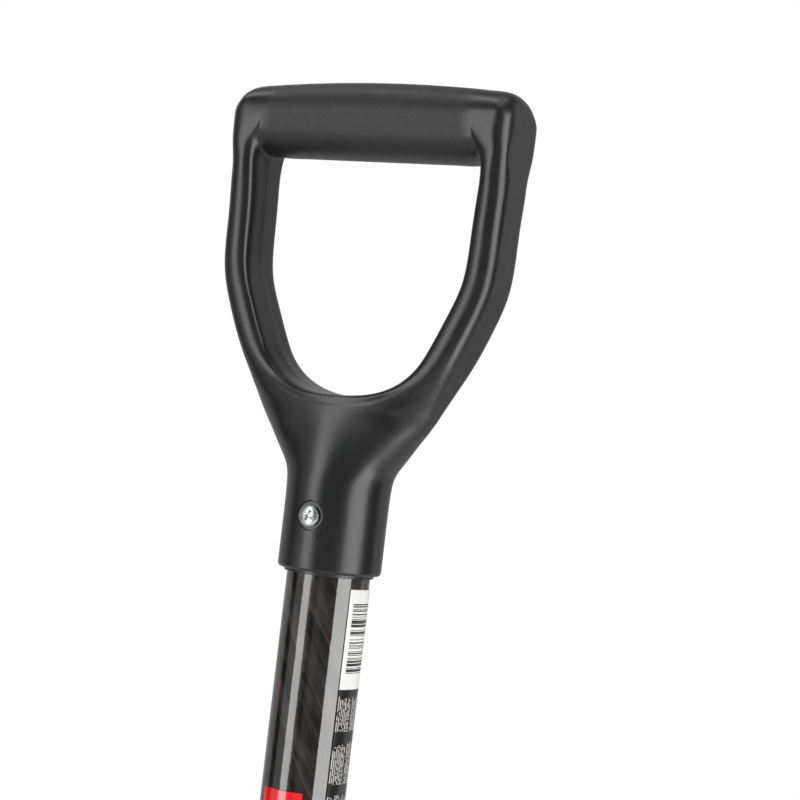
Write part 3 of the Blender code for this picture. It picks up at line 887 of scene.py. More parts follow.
@dataclass(frozen=True)
class PowderCoat(Finish):
    """Black powder coat on pressed steel, thin and rubbed where the piece's edge attribute is high."""

    color: tuple = (0.0115, 0.0115, 0.0120)
    pale: tuple = (0.024, 0.024, 0.025)
    steel: tuple = (0.40, 0.39, 0.38)
    dull_steel: tuple = (0.24, 0.235, 0.23)
    roughness: float = 0.35
    smudge_roughness: float = 0.06
    bare_roughness: float = -0.12
    marks: tuple = (18.0, 330.0)
    skin_per_metre: float = 900.0
    skin_tone: float = 0.4
    smudge_tone: float = 0.30
    speck_tone: float = 0.5
    ragged_per_metre: float = 260.0
    ragged_share: float = 0.9
    scratch_scale: tuple = (900.0, 900.0, 60.0)
    skin_relief: float = 0.028
    wave_per_metre: float = 160.0
    wave_relief: float = 0.035
    bare_relief: float = -0.05

    def build(self, effects: Effects) -> Material:
        """Make the material.

        Args:
            effects: The shared node groups.

        Returns:
            The material.
        """
        graph = Paint("black_powder_coat", effects)
        skin_height, skin_tone = graph.grain(self.skin_per_metre)
        smudge, speck = graph.marks(*self.marks)
        tone = graph.scaled(smudge, self.smudge_tone, graph.times(skin_tone, self.skin_tone))
        tone = graph.scaled(speck, self.speck_tone, tone)
        ragged = graph.noise(graph.where, self.ragged_per_metre, 4.0, 0.6)
        rubbed = graph.scaled(graph.minus(ragged, 0.5), self.ragged_share, graph.attribute("edge"))
        bare = graph.range(rubbed, 0.80, 0.90)
        scratch = graph.noise(graph.stretch(graph.where, self.scratch_scale), 1.0, 3.0, 0.6)
        steel = graph.mix(graph.range(scratch, 0.35, 0.7), self.steel, self.dull_steel)
        rough = graph.scaled(smudge, self.smudge_roughness, self.roughness)
        waves = graph.noise(graph.where, self.wave_per_metre, 1.0)
        relief = graph.scaled(waves, self.wave_relief, graph.times(skin_height, self.skin_relief))
        return graph.finish(graph.scaled(bare, self.bare_relief, relief), {
            "Base Color": graph.mix(bare, graph.mix(tone, self.color, self.pale), steel),
            "Metallic": bare,
            "Roughness": graph.scaled(bare, self.bare_roughness, rough),
        })


@dataclass(frozen=True)
class PlugWood(Finish):
    """Bare wood of the plugs inside the shaft, its grain along the shaft."""

    pale: tuple = (0.52, 0.36, 0.20)
    dark: tuple = (0.34, 0.20, 0.095)
    roughness: float = 0.55
    tone_roughness: float = 0.15
    marks: tuple = (60.0, 900.0)
    ring_scale: tuple = (90.0, 90.0, 6.0)
    rings: float = 46.0
    ring_tone: tuple = (0.28, 0.45)
    pore_scale: tuple = (1600.0, 1600.0, 50.0)
    pore_tone: float = 0.35
    pore_relief: float = 0.05
    smudge_tone: float = 0.15

    def build(self, effects: Effects) -> Material:
        """Make the material.

        Args:
            effects: The shared node groups.

        Returns:
            The material.
        """
        graph = Paint("plug_wood", effects)
        bend = graph.noise(graph.stretch(graph.where, self.ring_scale), 1.0, 3.0, 0.5, 0.8)
        pores = graph.noise(graph.stretch(graph.where, self.pore_scale), 1.0)
        tone = graph.scaled(graph.math("SINE", graph.times(bend, self.rings)), *self.ring_tone)
        tone = graph.scaled(graph.range(pores, 0.55, 0.75), self.pore_tone, tone)
        tone = graph.scaled(graph.marks(*self.marks)[0], self.smudge_tone, tone)
        return graph.finish(graph.times(pores, self.pore_relief), {
            "Base Color": graph.mix(graph.range(tone, 0.1, 1.0), self.pale, self.dark),
            "Roughness": graph.scaled(tone, self.tone_roughness, self.roughness),
        })


@dataclass(frozen=True)
class InfoFilm(Finish):
    """Printed film: a white field with plain bars above, black with rows of plain dashes below."""

    white: tuple = (0.735, 0.735, 0.72)
    black: tuple = (0.012, 0.011, 0.011)
    ink: tuple = (0.030, 0.030, 0.030)
    pale_ink: tuple = (0.56, 0.55, 0.54)
    dust: tuple = (0.3, 0.3, 0.3)
    dust_share: float = 0.05
    roughness: float = 0.22
    smudge_roughness: float = 0.08
    marks: tuple = (70.0, 900.0)
    ripple_per_metre: float = 90.0
    ripple_relief: float = 0.02
    radius: float = LAYOUT.shaft_radius
    left: float = math.radians(63.5)
    field_bottom: float = LAYOUT.rim - 0.0486
    bars_top: float = LAYOUT.rim - 0.0117
    bars_bottom: float = LAYOUT.rim - 0.0417
    bars_inset: float = 0.0022
    bars_per_metre: float = 3300.0
    bars_white_share: float = 0.46
    row_pitch: float = 0.00098
    row_half_height: float = 0.24
    row_inset: float = 0.1
    dashes_per_metre: float = 1350.0
    dash_lengths: tuple = (0.5, 0.55)
    missing_dashes: float = 0.14
    blank_row: float = 8.0
    shortest_row: float = 0.78
    blocks: tuple = ((0.0500, 0.0665), (0.0702, 0.0892), (0.0925, 0.1085))
    block_shift: float = 31.7

    def build(self, effects: Effects) -> Material:
        """Make the material.

        Args:
            effects: The shared node groups.

        Returns:
            The material.
        """
        graph = Paint("info_label_film", effects)
        wrap = graph.wrap(self.radius)
        arc = graph.times(graph.minus(wrap["Angle"], self.left), self.radius)
        z = wrap["Height"]
        upper = graph.mix(self._bars(graph, arc, z), self.white, self.ink)
        lower = graph.mix(self._dashes(graph, arc, z), self.black, self.pale_ink)
        color = graph.mix(graph.math("GREATER_THAN", z, self.field_bottom), lower, upper)
        smudge, _ = graph.marks(*self.marks)
        ripple = graph.noise(graph.where, self.ripple_per_metre, 1.0)
        return graph.finish(graph.times(ripple, self.ripple_relief), {
            "Base Color": graph.mix(graph.times(smudge, self.dust_share), color, self.dust),
            "Roughness": graph.scaled(smudge, self.smudge_roughness, self.roughness),
        })

    def _bars(self, graph: Graph, arc: object, z: object) -> NodeSocket:
        """Plain bars of uneven thickness across the white field.

        Args:
            graph: The material's graph.
            arc: Way round the shaft from the label's left edge.
            z: Height.

        Returns:
            A mask of the bars.
        """
        lines = graph.math("FLOOR", graph.times(z, self.bars_per_metre))
        dark = graph.math("GREATER_THAN", graph.white(lines), self.bars_white_share)
        inside = graph.times(graph.between(z, self.bars_bottom, self.bars_top),
                             graph.math("GREATER_THAN", arc, self.bars_inset))
        return graph.times(dark, inside)

    def _dashes(self, graph: Graph, arc: object, z: object) -> NodeSocket:
        """Rows of short plain dashes that run down the black field, in blocks.

        Args:
            graph: The material's graph.
            arc: Way round the shaft from the label's left edge.
            z: Height.

        Returns:
            A mask of the dashes.
        """
        lane = graph.math("DIVIDE", arc, self.row_pitch)
        row = graph.math("FLOOR", lane)
        in_row = graph.math("COMPARE", graph.math("FRACT", lane), 0.5, self.row_half_height)
        in_row = graph.times(in_row, graph.minus(1.0, graph.math("COMPARE", row, self.blank_row, 0.5)))
        step = graph.times(z, self.dashes_per_metre)
        spot = graph.add("CombineXYZ", {0: graph.math("FLOOR", step), 1: row}).outputs[0]
        code = graph.add("TexWhiteNoise", {"Vector": spot}, noise_dimensions="2D").outputs["Value"]
        dash = graph.math("LESS_THAN", graph.math("FRACT", step), graph.scaled(code, *self.dash_lengths))
        dash = graph.times(graph.math("GREATER_THAN", code, self.missing_dashes), graph.times(dash, in_row))
        mask = None
        for number, (top, bottom) in enumerate(self.blocks, 1):
            shortest = self.shortest_row * (bottom - top)
            code = graph.white(graph.plus(row, self.block_shift * number))
            end = graph.scaled(code, bottom - top - shortest, LAYOUT.rim - bottom + shortest)
            block = graph.times(graph.between(z, LAYOUT.rim - bottom, end),
                                graph.math("GREATER_THAN", lane, self.row_inset))
            mask = block if mask is None else graph.math("MAXIMUM", mask, block)
        return graph.times(dash, mask)


@dataclass(frozen=True)
class RedFilm(Finish):
    """Plain red film, left bare."""

    color: tuple = (0.78, 0.0035, 0.0065)
    deep: tuple = (0.64, 0.0030, 0.0055)
    gloss_ior: float = 1.86
    roughness: float = 0.06
    smudge_roughness: float = 0.03
    smudge_tone: float = 0.5
    marks: tuple = (40.0, 800.0)
    ripple_per_metre: float = 110.0
    ripple_relief: float = 0.02

    def build(self, effects: Effects) -> Material:
        """Make the material.

        Args:
            effects: The shared node groups.

        Returns:
            The material.
        """
        graph = Paint("red_label_film", effects)
        smudge, _ = graph.marks(*self.marks)
        ripple = graph.noise(graph.where, self.ripple_per_metre, 1.0)
        return graph.finish(graph.times(ripple, self.ripple_relief), {
            "Base Color": graph.mix(graph.times(smudge, self.smudge_tone), self.color, self.deep),
            "IOR": self.gloss_ior,
            "Roughness": graph.scaled(smudge, self.smudge_roughness, self.roughness),
        })


# Sub-assemblies


class Assembly:
    """A sub-assembly: builds its meshes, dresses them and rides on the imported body."""

    def settle(self, obj: Object, material: Material, slot: str,
               *nodes: str) -> Object:
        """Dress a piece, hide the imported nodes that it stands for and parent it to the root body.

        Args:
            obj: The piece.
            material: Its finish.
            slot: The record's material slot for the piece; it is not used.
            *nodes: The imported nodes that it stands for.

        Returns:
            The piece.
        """
        obj.data.materials.clear()
        obj.data.materials.append(material)
        if nodes:
            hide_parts(*nodes)
        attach(obj, "root")
        return obj


@dataclass
class DHandle(Assembly):
    """Moulded D-handle: crossbar, two arms and the socket, in one smooth skin. Heights are above its rim."""

    width: float = 0.1370
    bar_height: float = 0.1947
    bar_top: float = 0.0172
    bar_bottom: float = 0.01685
    bar_front: float = 0.0170
    end_thinning: float = 0.0034
    end_front_round: float = 0.0070
    end_top_round: float = 0.0088
    opening_width: float = 0.1086
    opening_bottom: float = 0.0755
    arm_width: float = 0.0132
    arm_depth: float = 0.0270
    fork_round: float = 0.0122
    draft: float = 0.0006
    crown_top: float = 0.1020
    crown_length: float = 0.0360
    crown_gain: float = 0.30
    crown_share: float = 0.50
    crown_power: float = 2.2
    crown_flare: float = 0.58
    crown_splay: float = 0.61
    fork_rise: float = 0.0110
    fork_spread: float = 0.0122
    flank_foot: tuple = (0.0306, 0.0520)
    straight: float = 0.041
    rim_round: float = 0.0015
    seat: float = 0.0453
    flank_share: float = 0.66
    counterbore_radius: float = 0.0061
    bar_stations: tuple = (0.0200, 0.0370, 0.0462)
    foot_stations: tuple = (0.0530, 0.0533, 0.0536, 0.0522, 0.0511, 0.0508, 0.0505, 0.0503, 0.0503)
    # Where along the bar, then X, Y and height from its axis of the column's two lowest points
    end_columns: tuple = (
        (0.0532, (0.0567, -0.0152, -0.0118), (0.0543, -0.0164, -0.0066)),
        (0.0592, (0.0604, -0.0159, -0.0122), (0.0596, -0.0169, -0.0064)),
        (0.0641, (0.0642, -0.0156, -0.0124), (0.0641, -0.0164, -0.0064)),
        (0.0674, (0.0673, -0.0130, -0.0128), (0.0674, -0.0136, -0.0064)),
    )
    # Y, then the heights from the bar's axis of the row's points on the end face
    end_rows: tuple = (
        (-0.0097, (-0.0140, -0.0055, 0.0015)),
        (-0.0049, (-0.0145, -0.0055, 0.0025)),
        (0.0, (-0.0150, -0.0055, 0.0032)),
    )
    end_insets: tuple = (0.0006, 0.0, 0.0)
    foot_crease: float = 0.55
    edge_crease: float = 0.30
    seam_crease: float = 0.8
    # Shares of depth and width gone to the socket's, then heights of front and side in rises of the fork
    fork_rows: tuple = (
        (0.15, 0.085, 2.30, 1.52),
        (0.38, 0.381, 1.60, 1.00),
        (0.61, 0.670, 0.90, 0.53),
        (0.81, 0.881, 0.25, 0.12),
    )
    degrees: tuple = (0.0, 25.0, 48.0, 68.0, 90.0, 112.0, 135.0, 157.5, 180.0)
    # Inner edge of the opening, in shares of its half width and of its height
    outline: tuple = (
        (1.022, 0.966), (1.014, 0.875), (1.000, 0.725), (0.984, 0.535), (0.900, 0.388), (0.775, 0.240),
        (0.670, 0.142), (0.526, 0.068), (0.352, 0.024), (0.176, 0.005), (0.000, 0.000),
    )
    inner_rounds: tuple = (
        0.0050, 0.0050, 0.0048, 0.0044, 0.0040, 0.0039, 0.0039, 0.0039, 0.0039, 0.0038, 0.0038,
    )
    outer_rounds: tuple = (
        0.0070, 0.0068, 0.0065, 0.0062, 0.0062, 0.0065, 0.0072, 0.0082, 0.0094, 0.0106, 0.0116,
    )
    arm_fronts: tuple = (0.0013, 0.0005, 0.0001, 0.0, 0.0, 0.0, 0.0, 0.0, 0.0, 0.0, 0.0)
    arm_stations: int = 7
    levels: int = 3

    @property
    def radius(self) -> float:
        """Outer radius of the round socket."""
        return LAYOUT.handle_radius

    def section(self, x: float) -> list:
        """Front half of the crossbar's section, from its underside round to its top.

        Args:
            x: Where along the bar.

        Returns:
            The section's points.
        """
        thinning = self.end_thinning * (abs(x) / (self.width / 2)) ** 2
        points = []
        for degree in self.degrees:
            angle = math.radians(degree)
            rise = self.bar_bottom if degree < 90.0 else self.bar_top - thinning
            z = self.bar_height - rise * math.cos(angle)
            points.append(Vector((x, -self.bar_front * math.sin(angle), z)))
        return points

    def inner_edge(self) -> list:
        """Inner edge of the D.

        Returns:
            Its points, from below the crossbar down to the middle of the fork.
        """
        half = self.opening_width / 2
        height = self.bar_height - self.bar_bottom - self.opening_bottom
        return [Vector((x * half, self.opening_bottom + up * height)) for x, up in self.outline]

    def outer_edge(self, inner: list) -> list:
        """Outer edge of the D beside each inner point: a steady arm, then a straight flank.

        Args:
            inner: The inner edge's points.

        Returns:
            The outer edge's points.
        """
        outer = []
        for index in range(self.arm_stations):
            along = (inner[index + 1] - inner[max(index - 1, 0)]).normalized()
            place = inner[index] + Vector((-along.y, along.x)) * self.arm_width
            outer.append(Vector((min(place.x, self.width / 2 - 0.0004), place.y)))
        last = outer[-1]
        foot = Vector(self.flank_foot)
        steps = len(inner) - self.arm_stations
        outer += [last.lerp(foot, self.flank_share * step / steps) for step in range(1, steps + 1)]
        return outer

    def round_corner(self, start: float, width: float, depth: float, rounding: float,
                     steps: int = 5) -> list:
        """Evenly spaced points of a section, from its front round its outer corner to its side.

        Args:
            start: Where on the front they begin.
            width: Where the side is.
            depth: How far the front stands from the middle.
            rounding: The corner's radius.
            steps: How many spaces there are between the points.

        Returns:
            Pairs of the way across and the way to the front.
        """
        flat = width - rounding - start
        arc = rounding * math.pi / 2
        whole = flat + arc + depth - rounding
        places = []
        for step in range(steps + 1):
            way = whole * step / steps
            if way < flat:
                places.append((start + way, depth))
            elif way < flat + arc:
                angle = (way - flat) / rounding
                inset = rounding * (1 - math.sin(angle))
                places.append((width - inset, depth - rounding * (1 - math.cos(angle))))
            else:
                places.append((width, whole - way))
        return places

    def arm_ring(self, inner: Vector, outer: Vector, inner_round: float, outer_round: float,
                 front: float) -> list:
        """Front half of an arm's section, from its inner side round to its outer side.

        Args:
            inner: The section's inner end.
            outer: Its outer end.
            inner_round: Radius of its corner next to the opening.
            outer_round: Radius of its outer corner.
            front: How far its front stands proud of the arm's usual depth.

        Returns:
            Ten points.
        """
        across_arm = (outer - inner).normalized()
        width = (outer - inner).length
        half = self.arm_depth / 2 + front
        bend = inner_round * (1 - math.sqrt(0.5))
        straight = half - inner_round
        places = [(-self.draft, 0.0), (-self.draft / 2, straight / 2), (0.0, straight), (bend, half - bend)]
        places += self.round_corner(inner_round, width, half, outer_round)
        flare = self.flare(outer.x, outer.y) / width
        points = [inner + across_arm * step * (1.0 + flare) for step, _ in places]
        return [Vector((point.x, -depth * self.crown(point.x, point.y), point.y))
                for point, (_, depth) in zip(points, places)]

    def crown(self, x: float, height: float) -> float:
        """Factor of the fork's depth: above 1 in its middle, below 1 where it curves away to its sides.

        Args:
            x: Way to the side.
            height: Height above the rim.

        Returns:
            The factor, which is 1 above the fork.
        """
        near = min(max((self.crown_top - height) / self.crown_length, 0.0), 1.0)
        near = near * near * (3.0 - 2.0 * near)
        above = max(height - self.crown_top + self.crown_length, 0.0)
        side = self.radius + self.fork_spread + self.crown_splay * above
        loss = self.crown_share * (abs(x) / side) ** self.crown_power
        return 1.0 + near * (self.crown_gain - loss)

    def flare(self, x: float, height: float) -> float:
        """How far the fork's side moves out to make up for the depth that the crown takes.

        Args:
            x: Way to the side.
            height: Height above the rim.

        Returns:
            The way out, negative where the crown adds depth.
        """
        return self.crown_flare * self.arm_depth / 2 * (1.0 - self.crown(x, height))

    def fork_ring(self, front_share: float, share: float, centre: float, side: float) -> list:
        """Front quarter of a section below the opening.

        Args:
            front_share: How far its depth has gone from the arms' to the round socket's.
            share: How far its width has.
            centre: Height of the middle of its front.
            side: Height of its side.

        Returns:
            Six points from the middle of the front to the side.
        """
        half_width = self.radius + self.fork_spread
        flat = self.round_corner(0.0, half_width, self.arm_depth / 2, self.fork_round)
        ring = []
        flare = 1.0 + self.flare(half_width, centre) / half_width
        for (wide, deep), point in zip(flat, self.socket_ring(self.radius, 0.0)):
            deep *= self.crown(wide, centre)
            x = wide * flare + (point.x - wide * flare) * share
            y = -deep + (point.y + deep) * front_share
            ring.append(Vector((x, y, centre + (side - centre) * (wide / half_width))))
        return ring

    def socket_ring(self, radius: float, height: float) -> list:
        """Front quarter of the round socket.

        Args:
            radius: Its radius.
            height: Its height.

        Returns:
            Six points from the middle of the front to the side.
        """
        ring = []
        for step in range(6):
            angle = math.pi / 2 * step / 5
            ring.append(Vector((radius * math.sin(angle), -radius * math.cos(angle), height)))
        ring[-1].y = 0.0
        return ring

    def end_column(self, x: float, low: tuple, mid: tuple) -> list:
        """A column of the crossbar's end block, its front edge and its top edge rounded off.

        Args:
            x: Where along the bar.
            low: X, Y and height from the bar's axis of its lowest point.
            mid: The same of the point above it.

        Returns:
            Seven points, up to the middle of the bar's top.
        """
        into_front = max(x - (self.width / 2 - self.end_front_round), 0.0)
        into_top = max(x - (self.width / 2 - self.end_top_round), 0.0)
        front_loss = self.end_front_round - math.sqrt(self.end_front_round**2 - into_front**2)
        top_loss = self.end_top_round - math.sqrt(self.end_top_round**2 - into_top**2)
        shrink_front = 1.0 - front_loss / self.bar_front
        shrink_top = 1.0 - top_loss / (self.bar_top - self.end_thinning)
        column = [Vector((place[0], place[1], self.bar_height + place[2])) for place in (low, mid)]
        for point in self.section(x)[4:]:
            rise = (point.z - self.bar_height) * shrink_top
            column.append(Vector((x, point.y * shrink_front, self.bar_height + rise)))
        return column

    def bar_rows(self, bm: BMesh) -> list:
        """Grow the crossbar's skin from its middle out over its end.

        Args:
            bm: The cage.

        Returns:
            The chain round the hole that the arm grows from.
        """
        row = chain_of(bm, self.section(0.0))
        for x in self.bar_stations:
            row = grow(bm, row, self.section(x))
        foot = grow(bm, row, [self.section(x)[index] for index, x in enumerate(self.foot_stations)])
        rings = [foot[2:]]
        for x, low, mid in self.end_columns:
            rings.append(grow(bm, rings[-1], self.end_column(x, low, mid)))
        rim = rings[-1]
        self.crease(bm, foot[2:5], self.foot_crease)
        self.crease(bm, rings[1][:2], self.edge_crease)
        column = rim[:4]
        for index, (y, heights) in enumerate(self.end_rows):
            places = [Vector((self.width / 2 - inset, y, self.bar_height + height))
                      for inset, height in zip(self.end_insets, heights)]
            column = grow(bm, column, places + [rim[index + 4].co.copy()])
            foot.append(column[0])
        return foot[:3] + [ring[0] for ring in rings[1:]] + foot[-3:]

    def cage(self) -> BMesh:
        """A quarter of the handle's coarse cage: right half, front half, rim at height zero."""
        bm = bmesh.new()
        chain = self.bar_rows(bm)
        inner = self.inner_edge()
        seam = [chain[0]]
        stations = zip(inner, self.outer_edge(inner), self.inner_rounds, self.outer_rounds, self.arm_fronts)
        for low, high, inner_round, outer_round, front in stations:
            places = self.arm_ring(low, high, inner_round, outer_round, front)
            if low.x == 0.0:
                for point in places[:5]:
                    point.x = 0.0
            chain = grow(bm, chain, places)
            seam.append(chain[0])
        chain = chain[4:]
        base, rise = self.straight, self.fork_rise
        for front, share, centre, side in self.fork_rows:
            chain = grow(bm, chain, self.fork_ring(front, share, base + centre * rise, base + side * rise))
        for radius, height in self.socket_profile():
            chain = grow(bm, chain, self.socket_ring(radius, height))
        self.crease(bm, seam, self.seam_crease)
        return closed(bm)

    def socket_profile(self) -> list:
        """Radius and height of the round socket's rings: down its side, round its rim and up its bore."""
        outer, bore, rim, base = self.radius, LAYOUT.bore_radius, self.rim_round, self.straight
        return [
            (outer + 0.0002, base - 0.50 * self.fork_rise),
            (outer, 0.55 * base),
            (outer, 0.25 * base),
            (outer, 1.6 * rim),
            (outer - 0.06 * rim, 0.65 * rim),
            (outer - 0.35 * rim, 0.18 * rim),
            (outer - rim, 0.0),
            (bore + 0.0004, 0.0),
            (bore, 0.0004),
            (bore, 0.5 * self.seat),
            (bore, self.seat - 0.0006),
            (bore - 0.0006, self.seat),
            (0.5 * bore, self.seat),
            (0.0, self.seat),
        ]

    def crease(self, bm: BMesh, chain: list, amount: float) -> None:
        """Crease the edges along a chain.

        Args:
            bm: The cage.
            chain: The chain's vertices.
            amount: How crisp its edges stay, from 0 to 1.
        """
        layer = bm.edges.layers.float.get("crease_edge") or bm.edges.layers.float.new("crease_edge")
        for first, second in zip(chain, chain[1:]):
            edge = bm.edges.get((first, second))
            if edge:
                edge[layer] = amount

    def settle_cage(self, obj: Object, rounds: int = 9) -> None:
        """Move the cage out until its skin, smoothed once, passes through the points it was given.

        Between the points the skin can swing past them. At the rim's inner edge it hangs 1.5 mm too low.

        Args:
            obj: The cage's object, with its Mirror and Subdivision Surface modifiers.
            rounds: How often to correct it.
        """
        goals = [vert.co.copy() for vert in obj.data.vertices]
        for _ in range(rounds):
            bpy.context.view_layer.update()
            evaluated = obj.evaluated_get(bpy.context.evaluated_depsgraph_get())
            smooth = evaluated.to_mesh()
            places = [smooth.vertices[index].co.copy() for index in range(len(goals))]
            evaluated.to_mesh_clear()
            for vert, goal, place in zip(obj.data.vertices, goals, places):
                step = goal - place
                step.x = 0.0 if goal.x == 0.0 else step.x
                step.y = 0.0 if goal.y == 0.0 else step.y
                vert.co += step
            obj.data.update()

    def build(self, material: Material) -> Object:
        """Build and dress the handle.

        Args:
            material: Its finish.

        Returns:
            The piece.
        """
        handle = object_of("moulded_d_handle", self.cage())
        mirror = handle.modifiers.new("mirror", "MIRROR")
        mirror.use_axis = (True, True, False)
        mirror.use_clip = True
        mirror.merge_threshold = 0.00001
        smooth = handle.modifiers.new("smooth", "SUBSURF")
        smooth.levels = 1
        smooth.render_levels = 1
        self.settle_cage(handle)
        smooth.levels = self.levels
        smooth.render_levels = self.levels
        settle_modifiers(handle)
        handle.data.transform(Matrix.Translation((0.0, 0.0, LAYOUT.rim)))
        seat = self.radius - LAYOUT.counterbore_depth
        edge = self.counterbore_radius
        counterbore = across([(0.0, 0.03), (edge + 0.0012, 0.03), (edge + 0.0005, self.radius + 0.0002),
                              (edge, self.radius - 0.0004), (edge, seat), (0.0, seat)], LAYOUT.screw_level)
        cut(handle, [counterbore, rod(LAYOUT.screw_hole, front=0.03, back=0.005, level=LAYOUT.screw_level)])
        return self.settle(handle, material, "handle_plastic", "d_handle")


@dataclass
class HandleFixing(Assembly):
    """The sleeve under the handle's rim and the screw that holds the handle to the shaft."""

    sleeve_below_rim: float = 0.0013
    sleeve_top: float = LAYOUT.shaft_top - 0.002
    head_radius: float = 0.0045
    head_height: float = 0.0021
    shank_radius: float = 0.0022
    length: float = 0.026
    point: float = 0.004
    recess_depth: float = 0.0015
    recess_above: float = 0.001
    recess_mouth: tuple = (0.0017, 0.0064)
    recess_bottom: tuple = (0.0010, 0.0034)
    recess_round: float = 0.00012
    recess_turn: float = 24.0
    dome_stations: tuple = (0.25, 0.45, 0.62, 0.76, 0.87, 0.95, 1.0)
    dome_edge: float = 0.34
    dome_reach: float = 0.97
    dome_power: float = 2.6
    ridge_pitch: float = 0.0016
    ridge_depth: float = 0.00045
    plain_shank: float = 0.002

    def sleeve(self, material: Material) -> Object:
        """Build the thin sleeve, which reaches a little way out of the handle's bore.

        Args:
            material: Its finish.

        Returns:
            The piece.
        """
        inner = LAYOUT.shaft_radius + LAYOUT.gap
        outer = inner + LAYOUT.sleeve_wall
        low = LAYOUT.rim - self.sleeve_below_rim
        soft = 0.00015
        bm = revolve([
            (outer, self.sleeve_top), (outer, low + soft), (outer - soft, low), (inner + soft, low),
            (inner, low + soft), (inner, self.sleeve_top),
        ], 128)
        piece = object_of("sleeve_under_rim", bm)
        cut(piece, [rod(LAYOUT.screw_hole, front=0.025, back=0.0, level=LAYOUT.screw_level)])
        return self.settle(piece, material, "sleeve_plastic", "handle_sleeve")

    def recess(self, face: float) -> list:
        """Cutters for the cross recess, narrower towards its bottom.

        Args:
            face: Way of the head's face from the shaft's axis.

        Returns:
            Two tapered bars.
        """
        bars = []
        for turn in (0.0, 90.0):
            bm = bmesh.new()
            for vert in bmesh.ops.create_cube(bm, size=1.0)["verts"]:
                deep = vert.co.y > 0.0
                width, length = self.recess_bottom if deep else self.recess_mouth
                vert.co.x *= width
                vert.co.z *= length
                vert.co.y = -face + self.recess_depth if deep else -face - self.recess_above
            place = Matrix.Translation((0.0, 0.0, LAYOUT.screw_level))
            spin = Matrix.Rotation(math.radians(turn + self.recess_turn), 4, "Y")
            bmesh.ops.transform(bm, matrix=place @ spin, verts=bm.verts[:])
            bmesh.ops.bevel(bm, geom=bm.edges[:], affect="EDGES", offset=self.recess_round, segments=1,
                            profile=0.5, material=-1)
            bars.append(closed(bm))
        return bars

    def screw(self, material: Material) -> Object:
        """Build the pan head screw with its cross recess and a shank with turned ridges.

        Args:
            material: Its finish.

        Returns:
            The piece.
        """
        seat = LAYOUT.handle_radius - LAYOUT.counterbore_depth + LAYOUT.gap
        r, h = self.head_radius, self.head_height
        profile = [(0.0, seat + h)]
        for share in self.dome_stations:
            dome = math.sqrt(max(1 - (share * self.dome_reach) ** self.dome_power, 0.0))
            profile.append((r * share, seat + h * (self.dome_edge + (1 - self.dome_edge) * dome)))
        profile += [(r, seat + 0.0001), (r - 0.0001, seat), (self.shank_radius, seat)]
        tip = seat - self.length
        y = seat - self.plain_shank
        while y > tip + self.point:
            ridge = (self.shank_radius - self.ridge_depth, y - self.ridge_pitch / 2)
            profile += [(self.shank_radius, y), ridge]
            y -= self.ridge_pitch
        profile += [(self.shank_radius * 0.9, tip + self.point), (0.0, tip)]
        piece = object_of("pan_head_screw", across(profile, LAYOUT.screw_level, 48), 28.0)
        cut(piece, self.recess(seat + h))
        return self.settle(piece, material, "screw_zinc", "handle_screw")


